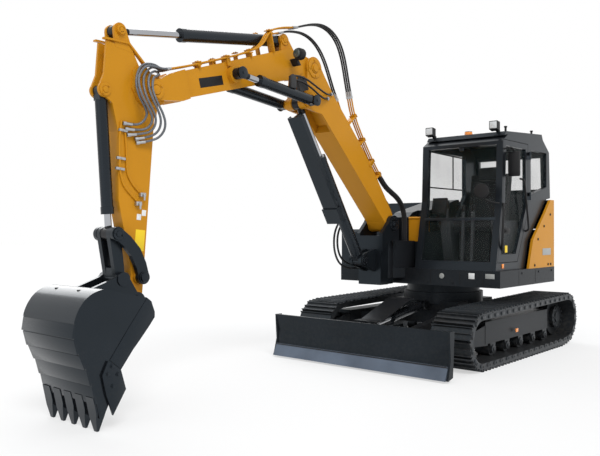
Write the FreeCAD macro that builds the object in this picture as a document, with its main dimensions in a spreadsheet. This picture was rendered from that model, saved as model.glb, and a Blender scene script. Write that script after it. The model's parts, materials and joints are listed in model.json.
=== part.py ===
# Crawler excavator of the eight to nine tonne class, with a swing post, a two-piece boom and a dozer blade.
# Lengths are millimetres. +X runs forward to the bucket, +Y to the machine's left, +Z up from the ground.
# Every place is measured from the slew axis, which stands slew_x along the row's own X.
import FreeCAD
import Part
import Sketcher

import math
import os
import re

SIZES = {
    # undercarriage
    "slew_x": -1805,
    "track_centre_y": 873,
    "shoe_width": 450,
    "shoe_count": 42,
    "shoe_gap": 12,
    "shoe_plate": 12,
    "grouser_height": 20,
    "grouser_width": 16,
    "grouser_land": 6,
    "link_height": 54,
    "idler_x": 1142,
    "idler_z": 300,
    "idler_reach": 300,
    "sprocket_x": -1132,
    "sprocket_z": 333,
    "sprocket_reach": 309,
    "rear_roller_x": -960,
    "rear_roller_reach": 170,
    "wheel_clearance": 0,
    "idler_width": 70,
    "fork_inner": 64,
    "fork_plate_y": 28,
    "motor_radius": 150,
    "axle_radius": 36,
    "roller_radius": 68,
    "roller_width": 150,
    "roller_count": 5,
    "roller_pitch": 345,
    "roller_first_x": -720,
    "side_beam_width": 190,
    "side_beam_low": 225,
    "side_beam_high": 455,
    "side_beam_front_x": 840,
    "side_beam_rear_x": -800,
    "carbody_half": 430,
    "carbody_low": 330,
    "carbody_high": 600,
    "leg_reach_x": 620,
    "leg_width": 210,
    "ring_radius": 470,
    "ring_bore": 330,
    "ring_foot_high": 690,
    "ring_gap": 0.5,
    "eye_y": 165,
    "eye_z": 465,
    "eye_plate": 30,
    "eye_radius": 28,
    "eye_reach": 60,
    "lug_plate_y": 30,
    # dozer blade
    "blade_x": 1700,
    "blade_half_width": 1098,
    "blade_bottom": 20,
    "blade_height": 450,
    "blade_lean": 60,
    "blade_plate": 26,
    "blade_edge_height": 110,
    "blade_pivot_x": 620,
    "blade_pivot_z": 395,
    "blade_arm_y": 330,
    "blade_arm_width": 90,
    "blade_arm_depth": 130,
    "blade_ram_x": 520,
    "blade_ram_z": 545,
    "blade_ear_x": 1560,
    "blade_ear_z": 400,
    # upper structure
    "deck_low": 797,
    "deck_high": 977,
    "deck_front_x": 672,
    "deck_side_y": 1052,
    "deck_corner": 60,
    "deck_right_x": 610,
    "tail_radius": 1327,
    "nose_y": 45,
    "swing_x": 860,
    "boom_y": -290,
    "swing_low": 866,
    "swing_high": 1289,
    "swing_boss": 112,
    "swing_pin": 48,
    "swing_lug": 62,
    "counterweight_high": 1420,
    "counterweight_wall": 210,
    "hood_high": 1775,
    "hood_gap": 10,
    "hood_wall": 28,
    "cover_front_x": -70,
    "cover_knee_x": -183,
    "cover_knee_z": 1299,
    "cover_shoulder_z": 1614,
    "cover_wall": 30,
    "panel_gap": 6,
    "engine_gap": 57,
    "engine_width": 560,
    "engine_height": 540,
    "tank_front_x": 470,
    "tank_nose_z": 1285,
    "tank_brow_z": 1567,
    "tank_rear_x": -420,
    "tank_top_z": 1797,
    "side_box_x": 660,
    "side_box_z": 1425,
    "amber_box_x": 305,
    "amber_box_y": -172,
    # cab
    "cab_right_y": 12,
    "cab_left_y": 1000,
    "cab_wall": 55,
    "cab_toe_x": 668,
    "cab_waist_x": 512,
    "cab_waist_z": 1734,
    "cab_brow_x": 485,
    "cab_brow_z": 2379,
    "cab_roof_front_x": 361,
    "cab_roof_front_z": 2455,
    "cab_roof_rear_x": -572,
    "cab_roof_rear_z": 2500,
    "cab_back_top_z": 2350,
    "cab_back_z": 1800,
    "cab_floor": 40,
    "roof_thickness": 50,
    "door_wall": 40,
    "door_front_x": 596,
    "door_rear_x": -167,
    "door_heel_x": 125,
    "door_sill_z": 1060,
    "door_top_z": 2395,
    "hinge_offset": 22,
    "hinge_radius": 14,
    "hinge_pin": 6,
    "hinge_knuckle": 45,
    "hood_hinge_y": 700,
    "hood_hinge_rise": 10,
    "hood_hinge_radius": 9,
    "seat_x": 0,
    "seat_y": 505,
    "glass": 6,
    # swing post and boom
    "foot_x": 900,
    "foot_z": 1480,
    "boom_ram_x": 1340,
    "boom_ram_z": 1085,
    "elbow_x": 2250,
    "elbow_z": 3020,
    "knuckle_x": 2350,
    "knuckle_z": 2672,
    "adjust_x": 3350,
    "adjust_z": 2772,
    "arm_ram_x": 2630,
    "arm_ram_z": 3232,
    "arm_pin_x": 4200,
    "arm_pin_z": 2505,
    "arm_head_x": 4478,
    "arm_head_z": 2930,
    "bucket_ram_x": 4609,
    "bucket_ram_z": 2458,
    "rocker_x": 4303,
    "rocker_z": 1045,
    "link_x": 4535,
    "link_z": 1380,
    "bucket_ear_x": 4485,
    "bucket_ear_z": 1039,
    "bucket_pin_x": 4355,
    "bucket_pin_z": 862,
    "side_gap": 1,
    "pin_fit": 0.3,
    "main_pin": 36,
    "small_pin": 28,
    "post_ear": 45,
    "boom_width": 250,
    "boom_foot_width": 260,
    "boom_foot_depth": 174,
    "boom_plate": 27,
    "front_width": 220,
    "fork_plate": 36,
    "arm_width": 125,
    "arm_boss_width": 208,
    "arm_tip_width": 172,
    "lug_plate": 22,
    "cover_y": 140,
    # hydraulic cylinders
    "boom_barrel": 64,
    "boom_rod": 36,
    "boom_barrel_length": 1280,
    "guard_half_width": 88,
    "guard_reach": 136,
    "guard_plate": 8,
    "hose_radius": 9.5,
    "pipe_radius": 8,
    "sheath_radius": 32,
    "adjust_barrel": 50,
    "adjust_rod": 28,
    "adjust_barrel_length": 760,
    "arm_barrel": 54,
    "arm_rod": 27,
    "arm_barrel_length": 1240,
    "bucket_barrel": 46,
    "bucket_rod": 27,
    "bucket_barrel_length": 930,
    "blade_barrel": 55,
    "blade_rod": 30,
    "blade_barrel_length": 620,
    "eye_width": 80,
    "adjust_offset": 190,
    "adjust_eye": 64,
    "link_half": 134,
    # bucket
    "bucket_half_width": 345,
    "bucket_wall": 22,
    "bucket_side": 20,
    "tooth_count": 5,
    "tooth_width": 62,
    "tooth_row": 581,
}

# places that follow the round tail when its radius changes
TIES = {
    "counterweight_x": "527 - tail_radius",
    "hood_front_x": "512 - tail_radius",
    "hood_hinge_x": "515 - tail_radius",
    "engine_rear_x": "280 - tail_radius",
    "cab_back_x": "514 - tail_radius",
    "cab_back_top_x": "542 - tail_radius",
    "cover_top_x": "626 - tail_radius",
    "cover_shoulder_x": "794 - tail_radius",
}

document = FreeCAD.newDocument("CrawlerExcavator")
sheet = document.addObject("Spreadsheet::Sheet", "Sizes")
cells = {**SIZES, **{alias: f"={text}" for alias, text in TIES.items()}}
for row, (alias, content) in enumerate(cells.items(), start=1):
    sheet.set(f"A{row}", alias)
    sheet.set(f"B{row}", str(content))
    sheet.setAlias(f"B{row}", alias)
document.recompute()

sub_parts = []


def bound(text):
    """The expression with every size's name turned into its cell of the sheet."""
    return re.sub(r"[a-z_]+", lambda word: "Sizes." + word.group(0) if word.group(0) in cells else word.group(0), text)


def place_at(thing, along, across, up, turn="0", axis="0; -1; 0"):
    """Set a thing's Placement from expressions: its place from the slew axis, then its turn."""
    position = f"vector(slew_x + {along}; {across}; {up})"
    thing.setExpression("Placement", bound(f"placement({position}; rotation(vector({axis}); {turn}))"))


def keep(thing, label):
    """Name a finished sub-part, which is written to a file of that name."""
    thing.Label = label
    sub_parts.append(thing)
    return thing


def slope(first, second):
    """Expression for the angle of the line between two pins, named by their place."""
    return f"atan2({second}_z - {first}_z; {second}_x - {first}_x)"


def reach(first, second):
    """Expression for the distance between two pins."""
    return f"sqrt(({second}_x - {first}_x)^2 + ({second}_z - {first}_z)^2)"


def along(first, second, pin):
    """Expressions for a pin's place in the frame that starts at one pin and points at another."""
    run = f"({pin}_x - {first}_x)"
    rise = f"({pin}_z - {first}_z)"
    angle = slope(first, second)
    return (
        f"({run} * cos({angle}) + {rise} * sin({angle}))",
        f"({rise} * cos({angle}) - {run} * sin({angle}))",
    )


class Piece:
    """One PartDesign body whose sketches are bound to the sheet."""

    def __init__(self, name):
        self.body = document.addObject("PartDesign::Body", name)
        self.body.AllowCompound = True
        self.count = 0

    def sketch(self, plane, level):
        self.count += 1
        sketch = self.body.newObject("Sketcher::SketchObject", f"{self.body.Name}_sketch{self.count}")
        support = [face for face in self.body.Origin.OriginFeatures if face.Role == plane][0]
        sketch.AttachmentSupport = (support, [""])
        sketch.MapMode = "FlatFace"
        sign = "-1" if plane == "XZ_Plane" else "1"
        sketch.setExpression(".AttachmentOffset.Base.z", bound(f"{sign} * ({level})"))
        return sketch

    def polygon(self, outline, plane, level):
        sketch = self.sketch(plane, level)
        corners = len(outline)
        start = [(math.cos(2 * math.pi * turn / corners), math.sin(2 * math.pi * turn / corners))
                 for turn in range(corners)]
        for corner in range(corners):
            first = FreeCAD.Vector(*start[corner], 0)
            second = FreeCAD.Vector(*start[(corner + 1) % corners], 0)
            sketch.addGeometry(Part.LineSegment(first, second), False)
        for corner in range(corners):
            sketch.addConstraint(Sketcher.Constraint("Coincident", corner, 2, (corner + 1) % corners, 1))
        for corner, point in enumerate(outline):
            for kind, value, text in zip(("DistanceX", "DistanceY"), start[corner], point):
                number = sketch.addConstraint(Sketcher.Constraint(kind, -1, 1, corner, 1, value))
                sketch.setExpression(f"Constraints[{number}]", bound(str(text)))
        return sketch

    def circle(self, centre, radius, plane, level):
        sketch = self.sketch(plane, level)
        sketch.addGeometry(Part.Circle(FreeCAD.Vector(1, 1, 0), FreeCAD.Vector(0, 0, 1), 1), False)
        for kind, text in zip(("DistanceX", "DistanceY"), centre):
            number = sketch.addConstraint(Sketcher.Constraint(kind, -1, 1, 0, 3, 1))
            sketch.setExpression(f"Constraints[{number}]", bound(str(text)))
        number = sketch.addConstraint(Sketcher.Constraint("Radius", 0, 1))
        sketch.setExpression(f"Constraints[{number}]", bound(str(radius)))
        return sketch

    def extrude(self, kind, sketch, low, high, plane):
        feature = self.body.newObject(kind, f"{self.body.Name}_feature{self.count}")
        feature.Profile = sketch
        feature.setExpression("Length", bound(f"({high}) - ({low})"))
        # a sketch on the XZ plane looks along -Y, so the run from the lower level goes against it
        against = plane == "XZ_Plane"
        feature.Reversed = against if kind == "PartDesign::Pad" else not against
        feature.Refine = True
        sketch.Visibility = False
        return self

    def pad(self, outline, low, high, plane="XZ_Plane"):
        return self.extrude("PartDesign::Pad", self.polygon(outline, plane, low), low, high, plane)

    def pocket(self, outline, low, high, plane="XZ_Plane"):
        return self.extrude("PartDesign::Pocket", self.polygon(outline, plane, low), low, high, plane)

    def disc(self, centre, radius, low, high, plane="XZ_Plane"):
        return self.extrude("PartDesign::Pad", self.circle(centre, radius, plane, low), low, high, plane)

    def bore(self, centre, radius, low, high, plane="XZ_Plane"):
        return self.extrude("PartDesign::Pocket", self.circle(centre, radius, plane, low), low, high, plane)

    def both(self, shape, *inner, low, high):
        """The same pad or disc on both sides of the middle plane."""
        shape(*inner, low, high)
        return shape(*inner, f"-({high})", f"-({low})")


def value(alias):
    """A size as a plain number, for the shapes that are worked out point by point."""
    return float(sheet.get(alias))


def bent_tube(points, radius):
    """A solid tube along straight runs joined by tangent arcs, each as large as its runs allow."""
    corners = [FreeCAD.Vector(*point) for point in points]
    edges = []
    radii = []
    last = corners[0]
    for before, corner, after in zip(corners, corners[1:], corners[2:]):
        back = (before - corner).normalize()
        ahead = (after - corner).normalize()
        half_turn = (math.pi - back.getAngle(ahead)) / 2
        shorter = min(before.distanceToPoint(corner), corner.distanceToPoint(after))
        arc_radius = 0.45 * shorter / math.tan(half_turn)
        radii.append(arc_radius)
        cut = arc_radius * math.tan(half_turn)
        inward = (back + ahead).normalize()
        start, end = corner + back * cut, corner + ahead * cut
        middle = corner + inward * (arc_radius / math.cos(half_turn) - arc_radius)
        edges.append(Part.LineSegment(last, start).toShape())
        edges.append(Part.Arc(start, middle, end).toShape())
        last = end
    edges.append(Part.LineSegment(last, corners[-1]).toShape())
    path = Part.Wire(edges)
    ring = Part.Wire([Part.makeCircle(radius, corners[0], corners[1] - corners[0])])
    solid = path.makePipeShell([ring], True, True)
    ratio = solid.Volume / (math.pi * radius**2 * path.Length)
    print(f"    tube of {path.Length:5.0f} mm, volume ratio {ratio:.3f}, radii {[round(item) for item in radii]}")
    return solid


def tubes(label, solids, place):
    """One node of tubes that don't touch, placed as the piece that carries them."""
    group = document.addObject("Part::Feature", label)
    group.Shape = Part.makeCompound(solids)
    place_at(group, *place)
    return keep(group, label)


# ---------------------------------------------------------------- undercarriage

def belt_run(depth):
    """Straight runs and arcs of the track at a depth inside its grouser tips, as (start, centre, radius, from, to)."""
    wheels = [
        (value("idler_x"), value("idler_z"), value("idler_reach") - depth),
        (value("sprocket_x"), value("sprocket_z"), value("sprocket_reach") - depth),
        (value("rear_roller_x"), value("rear_roller_reach"), value("rear_roller_reach") - depth),
    ]
    normals = []
    for number, (x, z, radius) in enumerate(wheels):
        next_x, next_z, next_radius = wheels[(number + 1) % len(wheels)]
        heading = math.atan2(next_z - z, next_x - x)
        distance = math.hypot(next_x - x, next_z - z)
        normals.append(heading - math.pi / 2 - math.asin((next_radius - radius) / distance))
    pieces = []
    for number, (x, z, radius) in enumerate(wheels):
        turn_from = normals[number - 1]
        turn_to = normals[number]
        while turn_to < turn_from:
            turn_to += 2 * math.pi
        pieces.append((x, z, radius, turn_from, turn_to))
    return pieces


def belt_points(depth, travels=None):
    """Points of the loop at given travels along it, and its whole length."""
    arcs = belt_run(depth)
    legs = []
    for number, (x, z, radius, turn_from, turn_to) in enumerate(arcs):
        legs.append(("arc", x, z, radius, turn_from, radius * (turn_to - turn_from)))
        next_x, next_z, next_radius, next_from, _ = arcs[(number + 1) % len(arcs)]
        first = (x + radius * math.cos(turn_to), z + radius * math.sin(turn_to))
        second = (next_x + next_radius * math.cos(next_from), next_z + next_radius * math.sin(next_from))
        legs.append(("run", *first, second[0] - first[0], second[1] - first[1], math.dist(first, second)))
    total = sum(leg[-1] for leg in legs)
    if travels is None:
        return total
    points = []
    for travel in travels:
        rest = travel % total
        for leg in legs:
            if rest <= leg[-1]:
                break
            rest -= leg[-1]
        if leg[0] == "arc":
            angle = leg[4] + rest / leg[3]
            points.append((leg[1] + leg[3] * math.cos(angle), leg[2] + leg[3] * math.sin(angle)))
        else:
            share = rest / leg[-1]
            points.append((leg[1] + leg[3] * share, leg[2] + leg[4] * share))
    return points


def track(label, side):
    """One closed loop of flat shoes, each with three grousers, on its chain of links."""
    plate = value("shoe_plate")
    tip = plate + value("grouser_height")
    width = value("grouser_width")
    land = value("grouser_land")
    count = int(value("shoe_count"))
    depth = tip
    total = belt_points(depth)
    pitch = total / count
    gap = value("shoe_gap")
    outline = []
    for shoe in range(count):
        first, second = belt_points(depth, [shoe * pitch + gap / 2, (shoe + 1) * pitch - gap / 2])
        run = math.dist(first, second)
        ahead = ((second[0] - first[0]) / run, (second[1] - first[1]) / run)
        outward = (ahead[1], -ahead[0])
        middle = run / 2
        shape = [(0, 0), (0, tip), (land, tip), (width, plate), (middle - width / 2, plate), (middle - land / 2, tip),
                 (middle + land / 2, tip), (middle + width / 2, plate), (run - width, plate), (run - land, tip), (run, tip), (run, 0)]
        for step, rise in shape:
            outline.append((first[0] + ahead[0] * step + outward[0] * rise,
                            first[1] + ahead[1] * step + outward[1] * rise))
    low_y = side * value("track_centre_y") - value("shoe_width") / 2
    outer = Part.makePolygon([FreeCAD.Vector(x, 0, z) for x, z in outline + outline[:1]])
    edges = []
    arcs = belt_run(depth + value("link_height"))
    for number, (x, z, radius, turn_from, turn_to) in enumerate(arcs):
        next_x, next_z, next_radius, next_from, _ = arcs[(number + 1) % len(arcs)]
        at = [FreeCAD.Vector(x + radius * math.cos(a), 0, z + radius * math.sin(a))
              for a in (turn_from, (turn_from + turn_to) / 2, turn_to)]
        edges.append(Part.Arc(*at).toShape())
        after = FreeCAD.Vector(next_x + next_radius * math.cos(next_from), 0, next_z + next_radius * math.sin(next_from))
        edges.append(Part.LineSegment(at[2], after).toShape())
    loop = Part.Face(outer).cut(Part.Face(Part.Wire(edges)))
    belt = document.addObject("Part::Feature", label)
    belt.Shape = loop.Faces[0].extrude(FreeCAD.Vector(0, value("shoe_width"), 0))
    belt.Placement = FreeCAD.Placement(FreeCAD.Vector(value("slew_x"), low_y, 0), FreeCAD.Rotation())
    return keep(belt, label)


def wheel_pair(name, x, z, parts):
    """Turned wheels on both sides; parts are (radius, low, high) measured outward from the track's middle."""
    wheels = Piece(name)
    for sign in ("", "-"):
        for radius, low, high in parts:
            first = f"{sign}(track_centre_y + {low})"
            last = f"{sign}(track_centre_y + {high})"
            wheels.disc((x, z), radius, *((first, last) if not sign else (last, first)))
    return wheels


def idlers():
    inner = "idler_reach - grouser_height - shoe_plate - link_height - wheel_clearance"
    wheels = wheel_pair("idlers", "idler_x", "idler_z", [
        (inner, "-idler_width / 2", "idler_width / 2"),
        (f"{inner} - 45", "-fork_inner + 6", "fork_inner - 6"),
        ("axle_radius", "-fork_inner", "fork_inner"),
    ])
    place_at(wheels.body, "0", "0", "0")
    return keep(wheels.body, "idlers")


def sprockets():
    """Drive wheels with the covers of their final drives."""
    inner = "sprocket_reach - grouser_height - shoe_plate - link_height - wheel_clearance"
    wheels = wheel_pair("sprockets", "sprocket_x", "sprocket_z", [
        (inner, "-idler_width / 2", "idler_width / 2"),
        ("motor_radius", "-fork_inner", "idler_width / 2"),
        ("motor_radius - 12", "idler_width / 2", "fork_inner + 18"),
        ("motor_radius * 0.45", "fork_inner + 18", "fork_inner + 30"),
    ])
    place_at(wheels.body, "0", "0", "0")
    return keep(wheels.body, "sprockets")


def rollers():
    """Bottom rollers on the chain, each held under the side beam by two brackets."""
    middle = "grouser_height + shoe_plate + link_height + wheel_clearance + roller_radius"
    wheels = Piece("rollers")
    half = "roller_width / 2"
    for number in range(int(value("roller_count"))):
        x = f"(roller_first_x + {number} * roller_pitch)"
        hanger = [(f"{x} - 45", f"{middle} - 38"), (f"{x} + 45", f"{middle} - 38"), (f"{x} + 60", "side_beam_low"), (f"{x} - 60", "side_beam_low")]
        for sign in ("", "-"):
            for shape, inner, low, high in (
                ("disc", ((x, middle), "roller_radius"), f"track_centre_y - {half}", f"track_centre_y + {half}"),
                ("pad", (hanger,), f"track_centre_y + {half}", f"track_centre_y + {half} + 18"),
                ("pad", (hanger,), f"track_centre_y - {half} - 18", f"track_centre_y - {half}"),
            ):
                if sign:
                    low, high = f"-({high})", f"-({low})"
                getattr(wheels, shape)(*inner, low, high)
    place_at(wheels.body, "0", "0", "0")
    return keep(wheels.body, "rollers")


def side_frames():
    """Side beams with the forks that hold the idlers and the plates that hold the drive motors."""
    frames = Piece("side_frames")
    beam = [("side_beam_rear_x", "side_beam_low"), ("side_beam_front_x", "side_beam_low"),
            ("side_beam_front_x", "side_beam_high"), ("side_beam_rear_x", "side_beam_high")]
    frames.both(frames.pad, beam, low="track_centre_y - side_beam_width / 2", high="track_centre_y + side_beam_width / 2")
    fork = [("side_beam_front_x - 60", "idler_z - 95"), ("idler_x", "idler_z - 70"), ("idler_x + 62", "idler_z - 45"),
            ("idler_x + 62", "idler_z + 45"), ("idler_x", "idler_z + 70"), ("side_beam_front_x - 60", "idler_z + 130")]
    motor = [("side_beam_rear_x + 5", "side_beam_low + 60"), ("side_beam_rear_x - 20", "side_beam_low - 8"),
             ("sprocket_x", "sprocket_z - 150"), ("sprocket_x - 106", "sprocket_z - 106"), ("sprocket_x - 150", "sprocket_z"),
             ("sprocket_x - 106", "sprocket_z + 106"), ("sprocket_x", "sprocket_z + 150"),
             ("side_beam_rear_x - 20", "side_beam_high + 5"), ("side_beam_rear_x + 5", "side_beam_high - 40")]
    near, far = "fork_inner", "(fork_inner + fork_plate_y)"
    frames.both(frames.pad, fork, low=f"track_centre_y + {near}", high=f"track_centre_y + {far}")
    for outline in (fork, motor):
        frames.both(frames.pad, outline, low=f"track_centre_y - {far}", high=f"track_centre_y - {near}")
    place_at(frames.body, "0", "0", "0")
    return keep(frames.body, "side_frames")


def frame_legs():
    """Four legs that join the carbody to the side beams."""
    legs = Piece("frame_legs")
    outer_y = "(track_centre_y - side_beam_width / 2)"
    for across in ("1", "-1"):
        for ahead in ("1", "-1"):
            legs.pad([
                (f"{ahead} * (carbody_half - leg_width)", f"{across} * carbody_half"),
                (f"{ahead} * (leg_reach_x - leg_width)", f"{across} * {outer_y}"),
                (f"{ahead} * leg_reach_x", f"{across} * {outer_y}"),
                (f"{ahead} * carbody_half", f"{across} * carbody_half"),
            ], "side_beam_low + 40", "side_beam_high - 30", plane="XY_Plane")
    place_at(legs.body, "0", "0", "0")
    return keep(legs.body, "frame_legs")


def carbody():
    """Middle of the undercarriage: a welded box, the foot of the slewing ring and the lugs of the blade."""
    box = Piece("carbody")
    half = "carbody_half"
    box.pad([(f"-{half}", f"-{half}"), (half, f"-{half}"), (half, half), (f"-{half}", half)],
            "carbody_low", "carbody_high", plane="XY_Plane")
    box.disc(("0", "0"), "ring_radius", "carbody_high - 40", "ring_foot_high", plane="XY_Plane")
    lug = [(f"{half} - 40", "blade_pivot_z - 60"), ("blade_pivot_x", "blade_pivot_z - 60"), ("blade_pivot_x + 40", "blade_pivot_z"),
           ("blade_pivot_x", "blade_pivot_z + 60"), (f"{half} - 40", "blade_pivot_z + 75")]
    inner, outer = "blade_arm_y - blade_arm_width / 2 - side_gap", "blade_arm_y + blade_arm_width / 2 + side_gap"
    box.both(box.pad, lug, low=f"{inner} - lug_plate_y", high=inner)
    box.both(box.pad, lug, low=outer, high=f"{outer} + lug_plate_y")
    box.both(box.disc, ("blade_pivot_x", "blade_pivot_z"), "small_pin", low=f"{inner} - lug_plate_y - 1", high=f"{outer} + lug_plate_y + 1")
    ram_lug = [(f"{half} - 40", "blade_ram_z - 80"), ("blade_ram_x", "blade_ram_z - 45"), ("blade_ram_x + 40", "blade_ram_z"),
               ("blade_ram_x", "blade_ram_z + 45"), (f"{half} - 40", "blade_ram_z + 50")]
    box.both(box.pad, ram_lug, low="eye_width / 2 + side_gap", high="eye_width / 2 + 26")
    box.disc(("blade_ram_x", "blade_ram_z"), "small_pin", "-eye_width / 2 - 30", "eye_width / 2 + 30")
    place_at(box.body, "0", "0", "0")
    return keep(box.body, "carbody")


def lashing_eyes():
    """Two flat eyes behind the carbody, bored from top to bottom."""
    eyes = Piece("lashing_eyes")
    for side in ("eye_y", "-eye_y"):
        eyes.pad([("-carbody_half", f"{side} - 62"), ("-carbody_half - 60", f"{side} - 62"), ("-carbody_half - 110", f"{side} - 34"),
                  ("-carbody_half - 110", f"{side} + 34"), ("-carbody_half - 60", f"{side} + 62"), ("-carbody_half", f"{side} + 62")],
                 "eye_z - eye_plate / 2", "eye_z + eye_plate / 2", plane="XY_Plane")
        eyes.bore(("-carbody_half - eye_reach", side), "eye_radius", "eye_z - eye_plate / 2", "eye_z + eye_plate / 2", plane="XY_Plane")
    place_at(eyes.body, "0", "0", "0")
    return keep(eyes.body, "lashing_eyes")


# ---------------------------------------------------------------- dozer blade

def blade():
    """Mouldboard bent in profile, between two end plates."""
    board = Piece("blade")
    top = "blade_bottom + blade_height"
    face = [
        ("blade_x + 130", "blade_bottom"),
        ("blade_x + 155", "blade_bottom"),
        ("blade_x + 95", "blade_bottom + blade_height * 0.3"),
        ("blade_x + 85", "blade_bottom + blade_height * 0.62"),
        ("blade_x + 120", top),
        ("blade_x + 88", top),
        ("blade_x + 85 - blade_plate", "blade_bottom + blade_height * 0.64"),
        ("blade_x + 95 - blade_plate", "blade_bottom + blade_height * 0.28"),
    ]
    board.pad(face, "-blade_half_width", "blade_half_width")
    end = [("blade_x + 60", "blade_bottom + 20"), ("blade_x + 150", "blade_bottom"), ("blade_x + 100", "blade_bottom + blade_height * 0.4"),
           ("blade_x + 120", top), ("blade_x + 30", top)]
    board.both(board.pad, end, low="blade_half_width - 20", high="blade_half_width")
    board.pad([("blade_x - 10", "blade_bottom + 150"), ("blade_x + 72", "blade_bottom + 150"),
               ("blade_x + 66", "blade_bottom + 330"), ("blade_x - 10", "blade_bottom + 330")],
              "-blade_half_width + 120", "blade_half_width - 120")
    place_at(board.body, "0", "0", "0")
    return keep(board.body, "blade")


def blade_edge():
    """Cutting edge bolted to the foot of the mouldboard."""
    edge = Piece("blade_edge")
    edge.pad([("blade_x + 155", "blade_bottom"), ("blade_x + 175", "blade_bottom"), ("blade_x + 118.5", "blade_bottom + 128"),
              ("blade_x + 100.8", "blade_bottom + 122")], "-blade_half_width + 20.5", "blade_half_width - 20.5")
    place_at(edge.body, "0", "0", "0")
    return keep(edge.body, "blade_edge")


def blade_ram_cover():
    """Bent plate that shields the lift cylinder from above, resting on its ears."""
    cover = Piece("blade_ram_cover")
    top = "blade_ear_z + 56"
    cover.pad([("880", "blade_pivot_z + 250"), ("1000", "blade_pivot_z + 240"), ("blade_ear_x - 130", f"{top} + 20"), ("blade_ear_x - 70", top),
               ("blade_ear_x + 80", top), ("blade_ear_x + 80", f"{top} + 10"), ("blade_ear_x - 66", f"{top} + 10"),
               ("blade_ear_x - 124", f"{top} + 30"), ("1003", "blade_pivot_z + 251"), ("880", "blade_pivot_z + 261")], "-cover_y", "cover_y")
    place_at(cover.body, "0", "0", "0")
    return keep(cover.body, "blade_ram_cover")


def blade_frame():
    """Two push arms from the pivots to the mouldboard, with the ears for the lift cylinder."""
    frame = Piece("blade_frame")
    arm = [("blade_pivot_x", "blade_pivot_z - 55"), ("blade_x - 10", "blade_bottom + 160"),
           ("blade_x - 10", "blade_bottom + 300"), ("blade_pivot_x", "blade_pivot_z + 55")]
    low, high = "blade_arm_y - blade_arm_width / 2", "blade_arm_y + blade_arm_width / 2"
    frame.both(frame.pad, arm, low=low, high=high)
    frame.both(frame.disc, ("blade_pivot_x", "blade_pivot_z"), "58", low=low, high=high)
    frame.pad([("blade_x - 170", "blade_bottom + 180"), ("blade_x - 10", "blade_bottom + 170"),
               ("blade_x - 10", "blade_bottom + 300"), ("blade_x - 170", "blade_bottom + 310")], f"-({low})", low)
    frame.both(frame.pad, [("blade_x - 170", "blade_bottom + 250"), ("blade_x - 20", "blade_bottom + 250"),
                           ("blade_x - 60", "blade_ear_z + 56"), ("blade_ear_x - 30", "blade_ear_z + 56"), ("blade_ear_x - 55", "blade_ear_z")],
               low="eye_width / 2 + 5", high="eye_width / 2 + 30")
    frame.both(frame.bore, ("blade_pivot_x", "blade_pivot_z"), "small_pin + pin_fit", low=low, high=high)
    place_at(frame.body, "0", "0", "0")
    return keep(frame.body, "blade_frame")


# ---------------------------------------------------------------- upper structure

def upper_frame():
    """Deck with its skirt and round tail, and the nose that carries the swing post."""
    deck = Piece("upper_frame")
    side = "deck_side_y"
    tail_x = "sqrt(tail_radius^2 - deck_side_y^2)"
    deck.pad([
        (f"-{tail_x}", f"-{side}"), ("deck_right_x", f"-{side}"), ("deck_right_x + 60", f"-{side} + 70"),
        ("deck_right_x + 60", "boom_y - 130"), ("deck_front_x", "boom_y - 60"), ("deck_front_x", f"{side} - deck_corner"),
        ("deck_front_x - deck_corner", side), (f"-{tail_x}", side),
    ], "deck_low", "deck_high", plane="XY_Plane")
    deck.disc(("0", "0"), "tail_radius", "deck_low", "deck_high", plane="XY_Plane")
    # what the round tail overhangs in front and at the sides is trimmed back to the deck's outline
    far = "2 * tail_radius"
    deck.pocket([(f"-{tail_x}", side), (far, side), (far, far), (f"-{tail_x}", far)], "deck_low - 1", "deck_high + 1", plane="XY_Plane")
    deck.pocket([(f"-{tail_x}", f"-{far}"), (far, f"-{far}"), (far, f"-{side}"), (f"-{tail_x}", f"-{side}")],
                "deck_low - 1", "deck_high + 1", plane="XY_Plane")
    deck.pocket([("deck_front_x", f"-{far}"), (far, f"-{far}"), (far, far), ("deck_front_x", far)],
                "deck_low - 1", "deck_high + 1", plane="XY_Plane")
    deck.pocket([("deck_right_x + 60", f"-{far}"), (far, f"-{far}"), (far, "boom_y - 131"), ("deck_right_x + 60", "boom_y - 131")],
                "deck_low - 1", "deck_high + 1", plane="XY_Plane")
    # nose
    for start, top in (("deck_right_x", "deck_high"), ("tank_front_x + 40", "swing_high")):
        deck.pad([(start, "boom_y - 130"), ("swing_x - 40", "boom_y - swing_boss + 8"), ("swing_x - 40", "boom_y + swing_boss - 8"),
                  (start, "boom_y + 200")], "swing_low", top, plane="XY_Plane")
    deck.disc(("swing_x", "boom_y"), "swing_boss", "swing_low", "swing_high", plane="XY_Plane")
    deck.disc(("swing_x", "boom_y"), "swing_pin", "swing_low - swing_lug - 8", "swing_high + swing_lug + 8", plane="XY_Plane")
    deck.disc(("0", "0"), "ring_radius - 40", "ring_foot_high + ring_gap", "deck_low", plane="XY_Plane")
    place_at(deck.body, "0", "0", "0")
    return keep(deck.body, "upper_frame")


def tail_block(label, radius, low, high, front, half_y):
    """A slice of the round tail."""
    block = Piece(label)
    block.disc(("0", "0"), radius, low, high, plane="XY_Plane")
    far = "2 * tail_radius"
    block.pocket([(front, f"-{far}"), (far, f"-{far}"), (far, far), (front, far)], f"{low} - 1", f"{high} + 1", plane="XY_Plane")
    block.pocket([(f"-{far}", half_y), (far, half_y), (far, far), (f"-{far}", far)], f"{low} - 1", f"{high} + 1", plane="XY_Plane")
    block.pocket([(f"-{far}", f"-{far}"), (far, f"-{far}"), (far, f"-({half_y})"), (f"-{far}", f"-({half_y})")],
                 f"{low} - 1", f"{high} + 1", plane="XY_Plane")
    return block


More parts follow.
